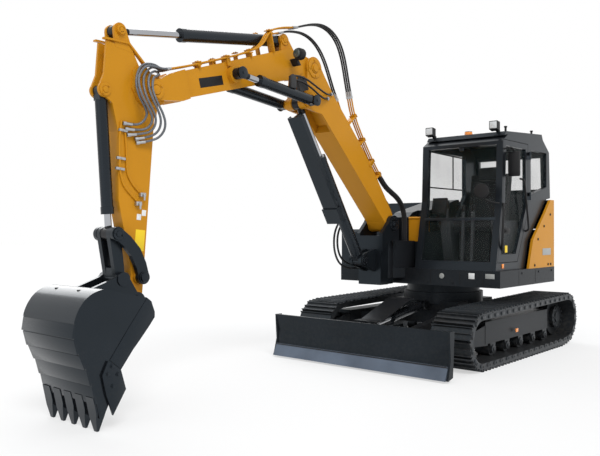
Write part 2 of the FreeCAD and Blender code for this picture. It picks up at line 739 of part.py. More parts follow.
def counterweight():
    """Cast tail, hollow toward the engine."""
    block = tail_block("counterweight", "tail_radius - 4", "deck_high", "counterweight_high",
                       "counterweight_x", "deck_side_y - cover_wall - panel_gap")
    block.bore(("0", "0"), "tail_radius - 4 - counterweight_wall", "deck_high - 1", "counterweight_high + 1", plane="XY_Plane")
    place_at(block.body, "0", "0", "0")
    return keep(block.body, "counterweight")


def rear_hood():
    """Lid over the engine, hollow from below."""
    low = "counterweight_high + hood_gap"
    lid = tail_block("rear_hood", "tail_radius - 12", low, "hood_high", "hood_front_x", "deck_side_y - cover_wall - panel_gap")
    lid.bore(("0", "0"), "tail_radius - 12 - hood_wall", f"{low} - 1", "hood_high - hood_wall", plane="XY_Plane")
    for middle in ("hood_hinge_y", "-hood_hinge_y"):
        line = ("hood_hinge_x", "hood_high + hood_hinge_rise")
        lid.pad([("hood_front_x - 60", "hood_high - 4"), ("hood_front_x - 60", "hood_high + 4"), ("hood_hinge_x - 4", f"{line[1]} + 5"),
                 ("hood_hinge_x - 4", "hood_high - 4")], f"{middle} - 40", middle)
        lid.disc(line, "hood_hinge_radius", f"{middle} - 40", middle)
        lid.disc(line, "hood_hinge_radius / 2", middle, f"{middle} + 40")
    place_at(lid.body, "0", "0", "0")
    return keep(lid.body, "rear_hood")


def engine_block():
    block = document.addObject("Part::Box", "engine_block")
    block.setExpression("Length", bound("tank_rear_x - engine_gap - engine_rear_x"))
    block.setExpression("Width", bound("engine_width"))
    block.setExpression("Height", bound("engine_height"))
    place_at(block, "engine_rear_x", "-engine_width / 2 - 60", "deck_high")
    return keep(block, "engine_block")


def left_cover():
    """Side cover below the cab's slanted rear corner."""
    cover = Piece("left_cover")
    back = "hood_front_x + panel_gap"
    cover.pad([(back, "deck_high"), ("cover_front_x", "deck_high"), ("cover_knee_x", "cover_knee_z"),
               ("cover_shoulder_x", "cover_shoulder_z"), ("cover_top_x", "hood_high"), (back, "hood_high")],
              "deck_side_y - cover_wall", "deck_side_y - 2")
    place_at(cover.body, "0", "0", "0")
    return keep(cover.body, "left_cover")


def right_cover():
    """Housing to the right of the cab: a low box in front and a slope up to the engine's cover."""
    cover = Piece("right_cover")
    inner, outer = "boom_y - 130", "-deck_side_y + 3"
    cover.pad([("tank_rear_x", "deck_high"), ("side_box_x", "deck_high"), ("side_box_x", "side_box_z - 30"),
               ("side_box_x - 30", "side_box_z"), ("tank_rear_x", "side_box_z")], outer, inner)
    cover.pad([("tank_rear_x", "side_box_z"), ("tank_rear_x + 130", "side_box_z"), ("tank_rear_x + 30", "tank_top_z - 20"),
               ("tank_rear_x", "tank_top_z - 20")], outer, inner)
    cover.pad([("tank_rear_x", "deck_high"), ("tank_front_x + 30", "deck_high"), ("tank_front_x + 30", "tank_brow_z"),
               ("tank_front_x - 60", "tank_brow_z + 60"), ("tank_rear_x + 60", "tank_top_z"), ("tank_rear_x", "tank_top_z")],
              inner, "cab_right_y - 20")
    # corner where the amber box stands
    cover.pocket([("amber_box_x - 5", "amber_box_y - 3"), ("side_box_x", "amber_box_y - 3"), ("side_box_x", "cab_right_y"),
                  ("amber_box_x - 5", "cab_right_y")], "tank_nose_z - 2", "tank_top_z + 1", plane="XY_Plane")
    place_at(cover.body, "0", "0", "0")
    return keep(cover.body, "right_cover")


def tank_box():
    """Amber box beside the cab, with a lid that stands a little proud."""
    box = Piece("tank_box")
    front = "tank_front_x + 32"
    box.pad([("amber_box_x", "tank_nose_z - 2"), (front, "tank_nose_z - 2"), (front, "tank_brow_z - 30"), (f"{front} - 10", "tank_brow_z - 24"),
             ("amber_box_x", "tank_brow_z - 24")], "amber_box_y", "cab_right_y - 23")
    box.pad([("amber_box_x", "tank_brow_z - 24"), (f"{front} - 2", "tank_brow_z - 24"), (f"{front} + 6", "tank_brow_z - 12"),
             (f"{front} - 8", "tank_brow_z + 4"), ("amber_box_x", "tank_brow_z + 4")], "amber_box_y - 2", "cab_right_y - 21")
    place_at(box.body, "0", "0", "0")
    return keep(box.body, "tank_box")


def engine_cover():
    """Side panel and top panel over the engine, behind the tank housing."""
    cover = Piece("engine_cover")
    rear = "hood_front_x + panel_gap"
    front = "tank_rear_x - panel_gap"
    cover.pad([(rear, "deck_high"), (front, "deck_high"), (front, "hood_high"), (rear, "hood_high")],
              "-deck_side_y + 3", "-deck_side_y + 3 + cover_wall")
    cover.pad([(rear, "hood_high - hood_wall"), (front, "hood_high - hood_wall"), (front, "hood_high"), (rear, "hood_high")],
              "-deck_side_y + 3", "cab_right_y - 20")
    # cross bar that carries the hood's hinges
    cover.pad([(rear, "hood_high - hood_wall"), ("cover_top_x - 20", "hood_high - hood_wall"), ("cover_top_x - 20", "hood_high"), (rear, "hood_high")],
              "cab_right_y - 21", "deck_side_y - cover_wall")
    for middle in ("hood_hinge_y", "-hood_hinge_y"):
        line = ("hood_hinge_x", "hood_high + hood_hinge_rise")
        low, high = f"{middle} + pin_fit", f"{middle} + 40"
        cover.pad([("hood_hinge_x + 4", "hood_high - 4"), ("hood_hinge_x + 60", "hood_high - 4"), ("hood_hinge_x + 60", "hood_high + 2"),
                   ("hood_hinge_x + 4", f"{line[1]} + 5")], low, high)
        cover.disc(line, "hood_hinge_radius", low, high)
        cover.bore(line, "hood_hinge_radius / 2 + pin_fit", low, high)
    place_at(cover.body, "0", "0", "0")
    return keep(cover.body, "engine_cover")


# ---------------------------------------------------------------- cab

CAB_OUTLINE = [
    ("cab_toe_x", "deck_high"), ("cab_waist_x", "cab_waist_z"), ("cab_brow_x", "cab_brow_z"),
    ("cab_roof_front_x", "cab_roof_front_z"), ("cab_roof_rear_x", "cab_roof_rear_z"), ("cab_back_top_x", "cab_back_top_z"),
    ("cab_back_x", "cab_back_z"), ("cover_top_x", "hood_high + 8"), ("cover_shoulder_x + 6", "cover_shoulder_z + 8"),
    ("cover_knee_x + 8", "cover_knee_z + 4"), ("cover_front_x + 8", "deck_high"),
]
CAB_HOLLOW = [
    ("cab_toe_x - cab_wall - 12", "deck_high + cab_floor"), ("cab_waist_x - cab_wall", "cab_waist_z"),
    ("cab_brow_x - cab_wall", "cab_brow_z - 20"), ("cab_roof_front_x - 20", "cab_roof_front_z - cab_wall"),
    ("cab_roof_rear_x + 20", "cab_roof_rear_z - cab_wall"), ("cab_back_top_x + cab_wall", "cab_back_top_z - 20"),
    ("cab_back_x + cab_wall", "cab_back_z + 60"), ("cover_top_x + 20", "hood_high + 8 + cab_wall + 20"),
    ("cover_shoulder_x + 50", "cover_shoulder_z + cab_wall"), ("cover_knee_x + 60", "cover_knee_z + 30"),
    ("cover_front_x + 60", "deck_high + cab_floor"),
]
DOOR_OUTLINE = [
    ("door_front_x + 30", "door_sill_z"), ("door_front_x - 100", "cab_waist_z"), ("door_front_x - 128", "door_top_z"),
    ("door_rear_x", "door_top_z"), ("door_rear_x", "cover_shoulder_z + 20"), ("door_heel_x", "door_sill_z"),
]
DOOR_WINDOW = [
    ("door_front_x - 62", "door_sill_z + 90"), ("door_front_x - 162", "cab_waist_z"), ("door_front_x - 186", "door_top_z - 65"),
    ("door_rear_x + 65", "door_top_z - 65"), ("door_rear_x + 65", "cover_shoulder_z + 40"), ("door_heel_x + 45", "door_sill_z + 90"),
]


HINGE_LINE = ("door_rear_x", "cab_left_y + hinge_offset")
DOOR_HINGES = ("door_top_z - 180", "cover_shoulder_z + 140")


def cab_frame():
    """Hollow cab: pillars, floor and walls left between the window and door openings."""
    cab = Piece("cab_frame")
    left = "cab_left_y - door_wall - 2"
    cab.pad(CAB_OUTLINE, "cab_right_y", "cab_left_y")
    cab.pocket(CAB_HOLLOW, "cab_right_y + cab_wall", "cab_left_y - cab_wall")
    # windscreen and its lower pane
    cab.pocket([("cab_right_y + 75", "deck_high + 95"), ("cab_left_y - 75", "deck_high + 95"),
                ("cab_left_y - 75", "cab_brow_z - 40"), ("cab_right_y + 75", "cab_brow_z - 40")],
               "cab_brow_x - cab_wall - 60", "cab_toe_x + 20", plane="YZ_Plane")
    # rear window
    cab.pocket([("cab_right_y + 90", "cab_back_z + 110"), ("cab_left_y - 90", "cab_back_z + 110"),
                ("cab_left_y - 90", "cab_back_top_z - 60"), ("cab_right_y + 90", "cab_back_top_z - 60")],
               "cab_back_x - 40", "cab_back_x + cab_wall + 60", plane="YZ_Plane")
    # right window
    cab.pocket([("cab_waist_x - 60", "deck_high + 420"), ("cab_brow_x - 90", "cab_brow_z - 45"),
                ("cab_back_x + 360", "cab_brow_z - 45"), ("cab_back_x + 360", "deck_high + 860"), ("-100", "deck_high + 420")],
               "cab_right_y - 5", "cab_right_y + cab_wall + 5")
    # rear quarter windows on both sides
    quarter = [("door_rear_x - 75", "door_top_z - 60"), ("cab_back_x + 110", "door_top_z - 60"),
               ("cab_back_x + 110", "cab_back_z + 130"), ("door_rear_x - 75", "cab_back_z + 20")]
    cab.pocket(quarter, "cab_left_y - cab_wall - 5", "cab_left_y + 5")
    # doorway
    cab.pocket(DOOR_OUTLINE, "cab_left_y - cab_wall - 5", "cab_left_y + 5")
    for height in DOOR_HINGES:
        low, high = f"{height} + hinge_knuckle + pin_fit", f"{height} + 2 * hinge_knuckle"
        cab.disc(HINGE_LINE, "hinge_radius", low, high, plane="XY_Plane")
        cab.pad([("door_rear_x", "cab_left_y + hinge_offset - 8"), ("door_rear_x - 60", "cab_left_y - 2"),
                 ("door_rear_x - 60", "cab_left_y + 8"), ("door_rear_x", "cab_left_y + hinge_offset + 8")], low, high, plane="XY_Plane")
        cab.bore(HINGE_LINE, "hinge_pin + pin_fit", low, high, plane="XY_Plane")
    place_at(cab.body, "0", "0", "0")
    return keep(cab.body, "cab_frame")


def cab_roof():
    """Roof panel laid on the cab's frame."""
    roof = Piece("cab_roof")
    roof.pad([("cab_roof_front_x + 60", "cab_roof_front_z - 14"), ("cab_roof_front_x", "cab_roof_front_z + 1"),
              ("cab_roof_rear_x", "cab_roof_rear_z + 1"), ("cab_roof_rear_x - 60", "cab_roof_rear_z - 22"),
              ("cab_roof_rear_x - 20", "cab_roof_rear_z + roof_thickness"),
              ("cab_roof_front_x + 20", "cab_roof_front_z + roof_thickness - 15")],
             "cab_right_y + 12", "cab_left_y - 12")
    roof.body.AllowCompound = True
    place_at(roof.body, "0", "0", "0")
    return keep(roof.body, "cab_roof")


def cab_door():
    """Door frame with its window cut and its hinge barrels."""
    door = Piece("cab_door")
    gap = "panel_gap"
    front, rear, heel = f"door_front_x - {gap}", f"door_rear_x + {gap}", f"door_heel_x + {gap}"
    door.pad([(f"{front} + 30", f"door_sill_z + {gap}"), (f"{front} - 100", "cab_waist_z"), (f"{front} - 128", f"door_top_z - {gap}"),
              (rear, f"door_top_z - {gap}"), (rear, "cover_shoulder_z + 20"), (heel, f"door_sill_z + {gap}")],
             "cab_left_y - door_wall", "cab_left_y")
    door.pocket(DOOR_WINDOW, "cab_left_y - door_wall - 1", "cab_left_y + 1")
    for height in DOOR_HINGES:
        door.disc(HINGE_LINE, "hinge_radius", height, f"{height} + hinge_knuckle", plane="XY_Plane")
        door.disc(HINGE_LINE, "hinge_pin", f"{height} + hinge_knuckle - 1", f"{height} + 2 * hinge_knuckle", plane="XY_Plane")
        door.pad([("door_rear_x", "cab_left_y + hinge_offset - 8"), ("door_rear_x + 60", "cab_left_y - 2"),
                  ("door_rear_x + 60", "cab_left_y + 8"), ("door_rear_x", "cab_left_y + hinge_offset + 8")],
                 height, f"{height} + hinge_knuckle", plane="XY_Plane")
    place_at(door.body, "0", "0", "0")
    return keep(door.body, "cab_door")


def door_glass():
    glass = Piece("door_glass")
    glass.pad(DOOR_WINDOW, "cab_left_y - door_wall / 2 - glass / 2", "cab_left_y - door_wall / 2 + glass / 2")
    place_at(glass.body, "0", "0", "0")
    return keep(glass.body, "door_glass")


def cab_glass():
    """Windscreen in two planes, right window, rear window and rear quarter panes."""
    panes = Piece("cab_glass")
    foot, head = "deck_high + 95", "cab_brow_z - 40"
    foot_x = "cab_toe_x + (cab_waist_x - cab_toe_x) * 95 / (cab_waist_z - deck_high)"
    head_x = "cab_brow_x + 2"
    panes.pad([(f"{foot_x} - 22", foot), (f"{foot_x} - 22 + glass", foot), ("cab_waist_x - 22 + glass", "cab_waist_z"),
               (f"{head_x} - 22 + glass", head), (f"{head_x} - 22", head), ("cab_waist_x - 22", "cab_waist_z")],
              "cab_right_y + 75", "cab_left_y - 75")
    low, high = "cab_back_z + 110", "cab_back_top_z - 60"
    lean = "(cab_back_top_x - cab_back_x) / (cab_back_top_z - cab_back_z)"
    panes.pad([(f"cab_back_x + 20 + 110 * {lean}", low), (f"cab_back_x + 20 + glass + 110 * {lean}", low),
               ("cab_back_top_x + 20 + glass", high), ("cab_back_top_x + 20", high)], "cab_right_y + 90", "cab_left_y - 90")
    panes.pad([("cab_waist_x - 60", "deck_high + 420"), ("cab_brow_x - 90", "cab_brow_z - 45"),
               ("cab_back_x + 360", "cab_brow_z - 45"), ("cab_back_x + 360", "deck_high + 860"), ("-100", "deck_high + 420")],
              "cab_right_y + 20", "cab_right_y + 20 + glass")
    quarter = [("door_rear_x - 75", "door_top_z - 60"), ("cab_back_x + 110", "door_top_z - 60"),
               ("cab_back_x + 110", "cab_back_z + 130"), ("door_rear_x - 75", "cab_back_z + 20")]
    panes.pad(quarter, "cab_left_y - 20 - glass", "cab_left_y - 20")
    place_at(panes.body, "0", "0", "0")
    return keep(panes.body, "cab_glass")


def seat():
    """Cushion and back on a plain base that stands before the slanted rear panel."""
    chair = Piece("operator_seat")
    floor = "deck_high + cab_floor"
    chair.pad([("seat_x + 20", floor), ("seat_x + 190", floor), ("seat_x + 190", f"{floor} + 400"), ("seat_x + 20", f"{floor} + 400")],
              "seat_y - 190", "seat_y + 190")
    chair.pad([("seat_x - 160", f"{floor} + 385"), ("seat_x + 240", f"{floor} + 385"), ("seat_x + 262", f"{floor} + 435"),
               ("seat_x + 230", f"{floor} + 490"), ("seat_x - 105", f"{floor} + 470"), ("seat_x - 220", f"{floor} + 1060"),
               ("seat_x - 320", f"{floor} + 1060"), ("seat_x - 215", f"{floor} + 450")], "seat_y - 235", "seat_y + 235")
    place_at(chair.body, "0", "0", "0")
    return keep(chair.body, "operator_seat")


def consoles():
    """Arm consoles beside the seat with their joystick levers, and the travel levers in front."""
    console = Piece("control_consoles")
    floor = "deck_high + cab_floor"
    for middle in ("(seat_y - 320)", "(seat_y + 320)"):
        console.pad([("seat_x + 20", floor), ("seat_x + 190", floor), ("seat_x + 290", f"{floor} + 430"), ("seat_x + 290", f"{floor} + 505"),
                     ("seat_x - 150", f"{floor} + 505"), ("seat_x - 150", f"{floor} + 435"), ("seat_x - 90", f"{floor} + 390")],
                    f"{middle} - 60", f"{middle} + 60")
        console.disc(("seat_x + 230", middle), "16", f"{floor} + 500", f"{floor} + 670", plane="XY_Plane")
    for middle in ("(seat_y - 60)", "(seat_y + 60)"):
        console.pad([("seat_x + 345", floor), ("seat_x + 375", floor), ("seat_x + 335", f"{floor} + 620"), ("seat_x + 305", f"{floor} + 620")],
                    f"{middle} - 15", f"{middle} + 15")
    place_at(console.body, "0", "0", "0")
    return keep(console.body, "control_consoles")


def roof_lamps():
    """Two work lamps on the roof's front edge and the beacon behind them."""
    lamps = Piece("roof_lamps")
    top = "cab_roof_front_z + roof_thickness"
    for middle in ("cab_right_y + 80", "cab_left_y - 115"):
        lamps.pad([("cab_roof_front_x + 55", f"{top} - 10"), ("cab_roof_front_x + 120", f"{top} + 5"), ("cab_roof_front_x + 120", f"{top} + 95"),
                   ("cab_roof_front_x + 55", f"{top} + 85")], f"{middle} - 48", f"{middle} + 48")
        lamps.pad([("cab_roof_front_x - 20", f"{top} - 12.3"), ("cab_roof_front_x + 15", f"{top} - 14.5"), ("cab_roof_front_x + 65", f"{top} + 20"),
                   ("cab_roof_front_x + 65", f"{top} + 45"), ("cab_roof_front_x - 20", f"{top} + 5")], f"{middle} - 15", f"{middle} + 15")
    lamps.disc(("-150", "cab_right_y + 250"), "45", "cab_roof_front_z + 70.9", "cab_roof_front_z + 150", plane="XY_Plane")
    place_at(lamps.body, "0", "0", "0")
    return keep(lamps.body, "roof_lamps")


# ---------------------------------------------------------------- swing post and boom

def swing_post():
    """Casting on the vertical swing pin: two lugs, the ears of the boom foot and the clevis of its cylinder."""
    post = Piece("swing_post")
    foot = ("foot_x - swing_x", "foot_z")
    ram = ("boom_ram_x - swing_x", "boom_ram_z")
    inner = "boom_foot_width / 2 + side_gap"
    outer = "boom_foot_width / 2 + side_gap + post_ear"
    front = "swing_boss + 14"
    # upper and lower lug round the pin, joined in front of the nose
    for low, high in (("swing_high + side_gap", "swing_high + side_gap + swing_lug"),
                      ("swing_low - side_gap - swing_lug", "swing_low - side_gap")):
        post.pad([("0", "-swing_boss"), (f"{front} + 150", "-150"), (f"{front} + 150", "150"), ("0", "swing_boss")],
                 low, high, plane="XY_Plane")
        post.disc(("0", "0"), "swing_boss", low, high, plane="XY_Plane")
        post.bore(("0", "0"), "swing_pin + pin_fit", low, high, plane="XY_Plane")
    post.pad([(front, "-150"), (f"{front} + 150", "-150"), (f"{front} + 150", "150"), (front, "150")],
             "swing_low - side_gap - swing_lug", "swing_high + side_gap + swing_lug", plane="XY_Plane")
    ear = [("foot_x - swing_x - 95", "foot_z - 20"), ("-60", "swing_high + side_gap + 4"), ("-60", "swing_high + side_gap"),
           (front, "swing_high + side_gap"), (f"{front} + 150", "swing_high - 120"), (f"{front} + 150", "swing_high + 90"), ("foot_x - swing_x + 92", "foot_z + 35")]
    post.both(post.pad, ear, low=inner, high=outer)
    post.both(post.disc, foot, "100", low=inner, high=outer)
    post.disc(foot, "main_pin", f"-({outer} + 8)", f"{outer} + 8")
    clevis = [(f"{front} + 100", "boom_ram_z + 130"), (f"{front} + 100", "boom_ram_z - 150"), ("boom_ram_x - swing_x", "boom_ram_z - 68"),
              ("boom_ram_x - swing_x + 30", "boom_ram_z + 62")]
    post.both(post.pad, clevis, low="eye_width / 2 + side_gap", high="eye_width / 2 + 42")
    post.both(post.disc, ram, "68", low="eye_width / 2 + side_gap", high="eye_width / 2 + 42")
    post.disc(ram, "main_pin", "-eye_width / 2 - 50", "eye_width / 2 + 50")
    place_at(post.body, "swing_x", "boom_y", "0")
    return keep(post.body, "swing_post")


def member(name, first, second, plane="boom_y"):
    """A piece in the frame that starts at one pin and points at another."""
    piece = Piece(name)
    place_at(piece.body, f"{first}_x", plane, f"{first}_z", slope(first, second))
    return piece


def boom_base():
    """First boom: a box that deepens from the foot to the fork at the elbow."""
    boom = member("boom_base", "foot", "elbow")
    span = reach("foot", "elbow")
    knuckle = along("foot", "elbow", "knuckle")
    half = "boom_width / 2"
    inner = f"{half} - boom_plate"
    boom.pad([("0", "-boom_foot_depth / 2"), ("95", "-72"), (f"{span} - 386", "-200"), (f"{span} - 350", "-105"),
              (f"{span} - 150", "-85"), (f"{span} - 150", "84"), (f"{span} - 420", "84"), (f"{span} - 640", "104"),
              (f"{span} - 1000", "128"), ("650", "138"), ("105", "110"), ("0", "boom_foot_depth / 2")],
             f"-{half}", half)
    boom.disc(("0", "0"), "boom_foot_depth / 2", "-boom_foot_width / 2", "boom_foot_width / 2")
    # channel for the cylinder between the side plates
    boom.pocket([(f"{span} - 680", "-260"), (f"{span} - 300", "-260"), (f"{span} - 300", "-105"), (f"{span} - 600", "-105")],
                f"-({inner} - 1)", f"{inner} - 1")
    cheek = [(f"{span} - 420", "-195"), (f"{knuckle[0]} - 45", f"{knuckle[1]} - 46"), (f"{knuckle[0]} + 25", f"{knuckle[1]} - 60"),
             (f"{knuckle[0]} + 62", f"{knuckle[1]} + 20"), (f"{span} + 108", "-30"), (f"{span} + 50", "99"), (f"{span} - 150", "84"),
             (f"{span} - 420", "84")]
    boom.both(boom.pad, cheek, low=inner, high=half)
    boom.both(boom.disc, (span, "0"), "112", low=inner, high=half)
    boom.both(boom.disc, knuckle, "64", low="eye_width / 2 + 6", high=half)
    boom.both(boom.disc, knuckle, "50", low=half, high="adjust_offset - adjust_eye / 2 - side_gap")
    boom.both(boom.disc, knuckle, "main_pin", low=half, high="adjust_offset + adjust_eye / 2 + 14")
    boom.disc((span, "0"), "main_pin", f"-{half} - 22", f"{half} + 22")
    # clamp blocks under the pipes
    boom.pad([("725", "110"), ("765", "110"), ("765", "195.4"), ("725", "195.4")], "56", "132")
    boom.pad([("725", "110"), ("765", "110"), ("765", "195.4"), ("725", "195.4")], "-106", "-56")
    boom.bore(("0", "0"), "main_pin + pin_fit", "-boom_foot_width / 2", "boom_foot_width / 2")
    return keep(boom.body, "boom_base")


def boom_front():
    """Second boom: tongue at the elbow, lugs for the arm cylinder on top, fork for the arm."""
    boom = member("boom_front", "elbow", "arm_pin")
    span = reach("elbow", "arm_pin")
    ram = along("elbow", "arm_pin", "arm_ram")
    adjust = along("elbow", "arm_pin", "adjust")
    half = "front_width / 2"
    tongue = "boom_width / 2 - boom_plate - side_gap"
    boom.pad([("0", "-88"), ("230", "-75"), ("230", "190"), ("120", "150"), ("0", "88")], f"-({tongue})", tongue)
    boom.disc(("0", "0"), "90", f"-({tongue})", tongue)
    boom.pad([("165", "-20"), ("300", "-72"), ("791", "-75"), (f"{span} - 343", "-96"), (f"{span} - 240", "-118"), (f"{span} - 190", "-60"),
              (f"{span} - 190", "60"), (f"{span} - 240", "112"), (f"{span} - 324", "122"), ("610", "196"), ("300", "214"), ("165", "150")],
             f"-{half}", half)
    lug = [("180", "150"), (f"{ram[0]} - 58", f"{ram[1]}"), (f"{ram[0]} - 20", f"{ram[1]} + 56"), (f"{ram[0]} + 50", f"{ram[1]} - 8"),
           ("390", "205")]
    boom.both(boom.pad, lug, low="eye_width / 2 + side_gap + 5", high="eye_width / 2 + side_gap + 5 + lug_plate")
    boom.both(boom.disc, ram, "60", low="eye_width / 2 + side_gap", high="eye_width / 2 + side_gap + 5 + lug_plate")
    boom.disc(ram, "small_pin", "-eye_width / 2 - lug_plate - 14", "eye_width / 2 + lug_plate + 14")
    boom.both(boom.disc, adjust, "72", low=half, high="adjust_offset - adjust_eye / 2 - side_gap")
    fork_in = "arm_boss_width / 2 + side_gap"
    fork = [(f"{span} - 335", "-106"), (f"{span} - 250", "-116"), (f"{span} - 40", "-84"), (f"{span} + 30", "-80"), (f"{span} + 30", "80"),
            (f"{span} - 60", "82"), (f"{span} - 190", "114"), (f"{span} - 335", "132")]
    boom.both(boom.pad, fork, low=fork_in, high=f"{fork_in} + fork_plate")
    boom.both(boom.disc, (span, "0"), "86", low=fork_in, high=f"{fork_in} + fork_plate")
    boom.disc((span, "0"), "main_pin", f"-({fork_in} + fork_plate + 12)", f"{fork_in} + fork_plate + 12")
    # clamp blocks under the pipes
    boom.pad([("1140", "120"), ("1180", "120"), ("1180", "181"), ("1140", "181")], "56", "132")
    boom.pad([("1140", "120"), ("1180", "120"), ("1180", "180"), ("1140", "180")], "-106", "-56")
    boom.bore(("0", "0"), "main_pin + pin_fit", f"-({tongue})", tongue)
    return keep(boom.body, "boom_front")


def arm():
    """Arm from its head lugs past the boom fork down to the bucket pin."""
    stick = member("arm", "arm_pin", "bucket_pin")
    span = reach("arm_pin", "bucket_pin")
    head = along("arm_pin", "bucket_pin", "arm_head")
    ram = along("arm_pin", "bucket_pin", "bucket_ram")
    rocker = along("arm_pin", "bucket_pin", "rocker")
    half = "arm_width / 2"
    boss = "arm_boss_width / 2"
    tip = "arm_tip_width / 2"
    stick.pad([("-280", "345"), ("-270", "190"), ("-130", "95"), ("-75", "-75"), ("0", "-96"), ("110", "-60"), (f"{span} - 90", "-77"),
               (f"{span}", "-75"), (f"{span} + 50", "-50"), (f"{span} + 50", "50"), (f"{span} - 60", "52"), (f"{span} - 190", "42"),
               (f"{span} - 250", "50"), (f"{span} - 400", "90"), (f"{span} - 570", "148"), (f"{span} - 756", "206"), ("371", "262"), ("130", "345"), ("-60", "350")], f"-{half}", half)
    lug = [(f"{head[0]} + 140", "345"), (f"{head[0]} + 10", f"{head[1]} + 56"), (f"{head[0]} - 48", f"{head[1]} + 25"),
           (f"{head[0]} - 35", f"{head[1]} - 44"), (f"{head[0]} + 140", "185")]
    stick.both(stick.pad, lug, low="eye_width / 2 + side_gap + 1", high="eye_width / 2 + side_gap + 1 + lug_plate")
    stick.both(stick.disc, head, "56", low="eye_width / 2 + side_gap + 1", high="eye_width / 2 + side_gap + 1 + lug_plate")
    low_lug = [("-278", "240"), ("-285", "425"), (f"{ram[0]} - 120", f"{ram[1]} + 20"), (f"{ram[0]} - 20", f"{ram[1]} + 50"),
               (f"{ram[0]} + 8", f"{ram[1]} + 56"), (f"{ram[0]} + 52", f"{ram[1]} - 10"), ("170", "330"), ("190", "240")]
    stick.both(stick.pad, low_lug, low="eye_width / 2 + side_gap", high="eye_width / 2 + side_gap + lug_plate")
    stick.both(stick.disc, ram, "56", low="eye_width / 2 + side_gap", high="eye_width / 2 + side_gap + lug_plate")
    stick.disc(ram, "small_pin", "-eye_width / 2 - lug_plate - 8", "eye_width / 2 + lug_plate + 8")
    # flange along the top of the head and doubler plates round the boss
    flange = [("-302", "452"), ("-288", "452"), ("-310", "236"), ("-194", "84"), ("-206", "76"), ("-324", "232")]
    stick.both(stick.pad, flange, low="eye_width / 2 + side_gap + 1", high="arm_width / 2 + 14")
    doubler = [("-190", "85"), ("-171", "121"), ("-123", "182"), ("18", "178"), ("97", "114"), ("166", "3"), ("185", "-70"), ("-80", "-70")]
    stick.both(stick.pad, doubler, low="arm_width / 2 - 1", high="arm_width / 2 + 16")
    stick.both(stick.disc, head, "40", low="arm_width / 2", high="arm_width / 2 + 14")
    stick.disc(("0", "0"), "128", f"-{boss}", boss)
    stick.disc(rocker, "58", f"-{tip}", tip)
    stick.disc(rocker, "small_pin", "-link_half", "link_half")
    stick.disc((span, "0"), "74", f"-{tip}", tip)
    stick.bore(("0", "0"), "main_pin + pin_fit", f"-{boss}", boss)
    stick.bore((span, "0"), "small_pin + 4 + pin_fit", f"-{tip}", tip)
    return keep(stick.body, "arm")


def ram_pair(name, first, second, barrel, rod, barrel_length, overlap, neck, offsets=("0",), eye="eye_width", base_pin="main_pin",
             rod_eye=None, plane="boom_y"):
    """One or two hydraulic cylinders: a barrel node from its base pin and a rod node with a solid eye."""
    span = reach(first, second)
    rod_eye = rod_eye or f"{rod} + 22"
    tube = member(f"{name}_barrel", first, second, plane)
    for offset in offsets:
        low, high = f"{offset} - {eye} / 2", f"{offset} + {eye} / 2"
        tube.disc(("0", "0"), f"{barrel} - 4", low, high)
        tube.pad([("0", f"-{barrel} + 9"), (f"{neck} + 6", f"-{barrel} + 9"), (f"{neck} + 6", f"{barrel} - 9"), ("0", f"{barrel} - 9")], low, high)
        tube.disc((offset, "0"), barrel, neck, barrel_length, plane="YZ_Plane")
        tube.disc((offset, "0"), f"{barrel} + 4", f"{barrel_length} - 55", barrel_length, plane="YZ_Plane")
    for offset in offsets:
        low, high = f"{offset} - {eye} / 2", f"{offset} + {eye} / 2"
        tube.bore(("0", "0"), f"{base_pin} + pin_fit", f"{offset} - {barrel} - 8", f"{offset} + {barrel} + 8")
        tube.bore((offset, "0"), f"{rod} + pin_fit", f"{neck} + 30", f"{barrel_length} + 1", plane="YZ_Plane")
    keep(tube.body, f"{name}_barrel")
    piston = member(f"{name}_rod", first, second, plane)
    for offset in offsets:
        low, high = f"{offset} - {eye} / 2", f"{offset} + {eye} / 2"
        piston.disc((offset, "0"), rod, f"{barrel_length} - {overlap}", f"{span} - 20", plane="YZ_Plane")
        piston.disc((span, "0"), rod_eye, low, high)
    keep(piston.body, f"{name}_rod")


def cylinder_guard():
    """Channel over the boom cylinder's rod, carried by the rod's eye and sliding on the barrel."""
    guard = member("cylinder_guard", "boom_ram", "knuckle")
    span = reach("boom_ram", "knuckle")
    side, plate = "guard_half_width", "guard_plate"
    guard.pad([("735", "-guard_reach"), (f"{span} - 92", "-guard_reach"), (f"{span} - 92", f"-guard_reach + {plate}"),
               ("735", f"-guard_reach + {plate}")], f"-{side}", side)
    guard.both(guard.pad, [("735", "-guard_reach"), (f"{span} - 92", "-guard_reach"), (f"{span} - 92", "-82"), ("780", "-82"), ("735", "-100")],
               low=f"{side} - {plate}", high=side)
    guard.pad([("560", "-guard_reach - 14"), ("738", "-guard_reach - 14"), ("738", "-guard_reach + 1"), ("560", "-guard_reach + 1")],
              f"-{side} - 12", f"{side} + 12")
    guard.both(guard.pad, [("560", "-guard_reach - 14"), ("738", "-guard_reach - 14"), ("738", "-72"), ("560", "-72")],
               low=f"{side} + 2", high=f"{side} + 12")
    # bracket down to the rod
    guard.pad([(f"{span} - 142", f"-guard_reach + {plate} - 1"), (f"{span} - 94", f"-guard_reach + {plate} - 1"), (f"{span} - 94", "-boom_rod - 0.3"),
               (f"{span} - 142", "-boom_rod - 0.3")], "-20", "20")
    return keep(guard.body, "cylinder_guard")


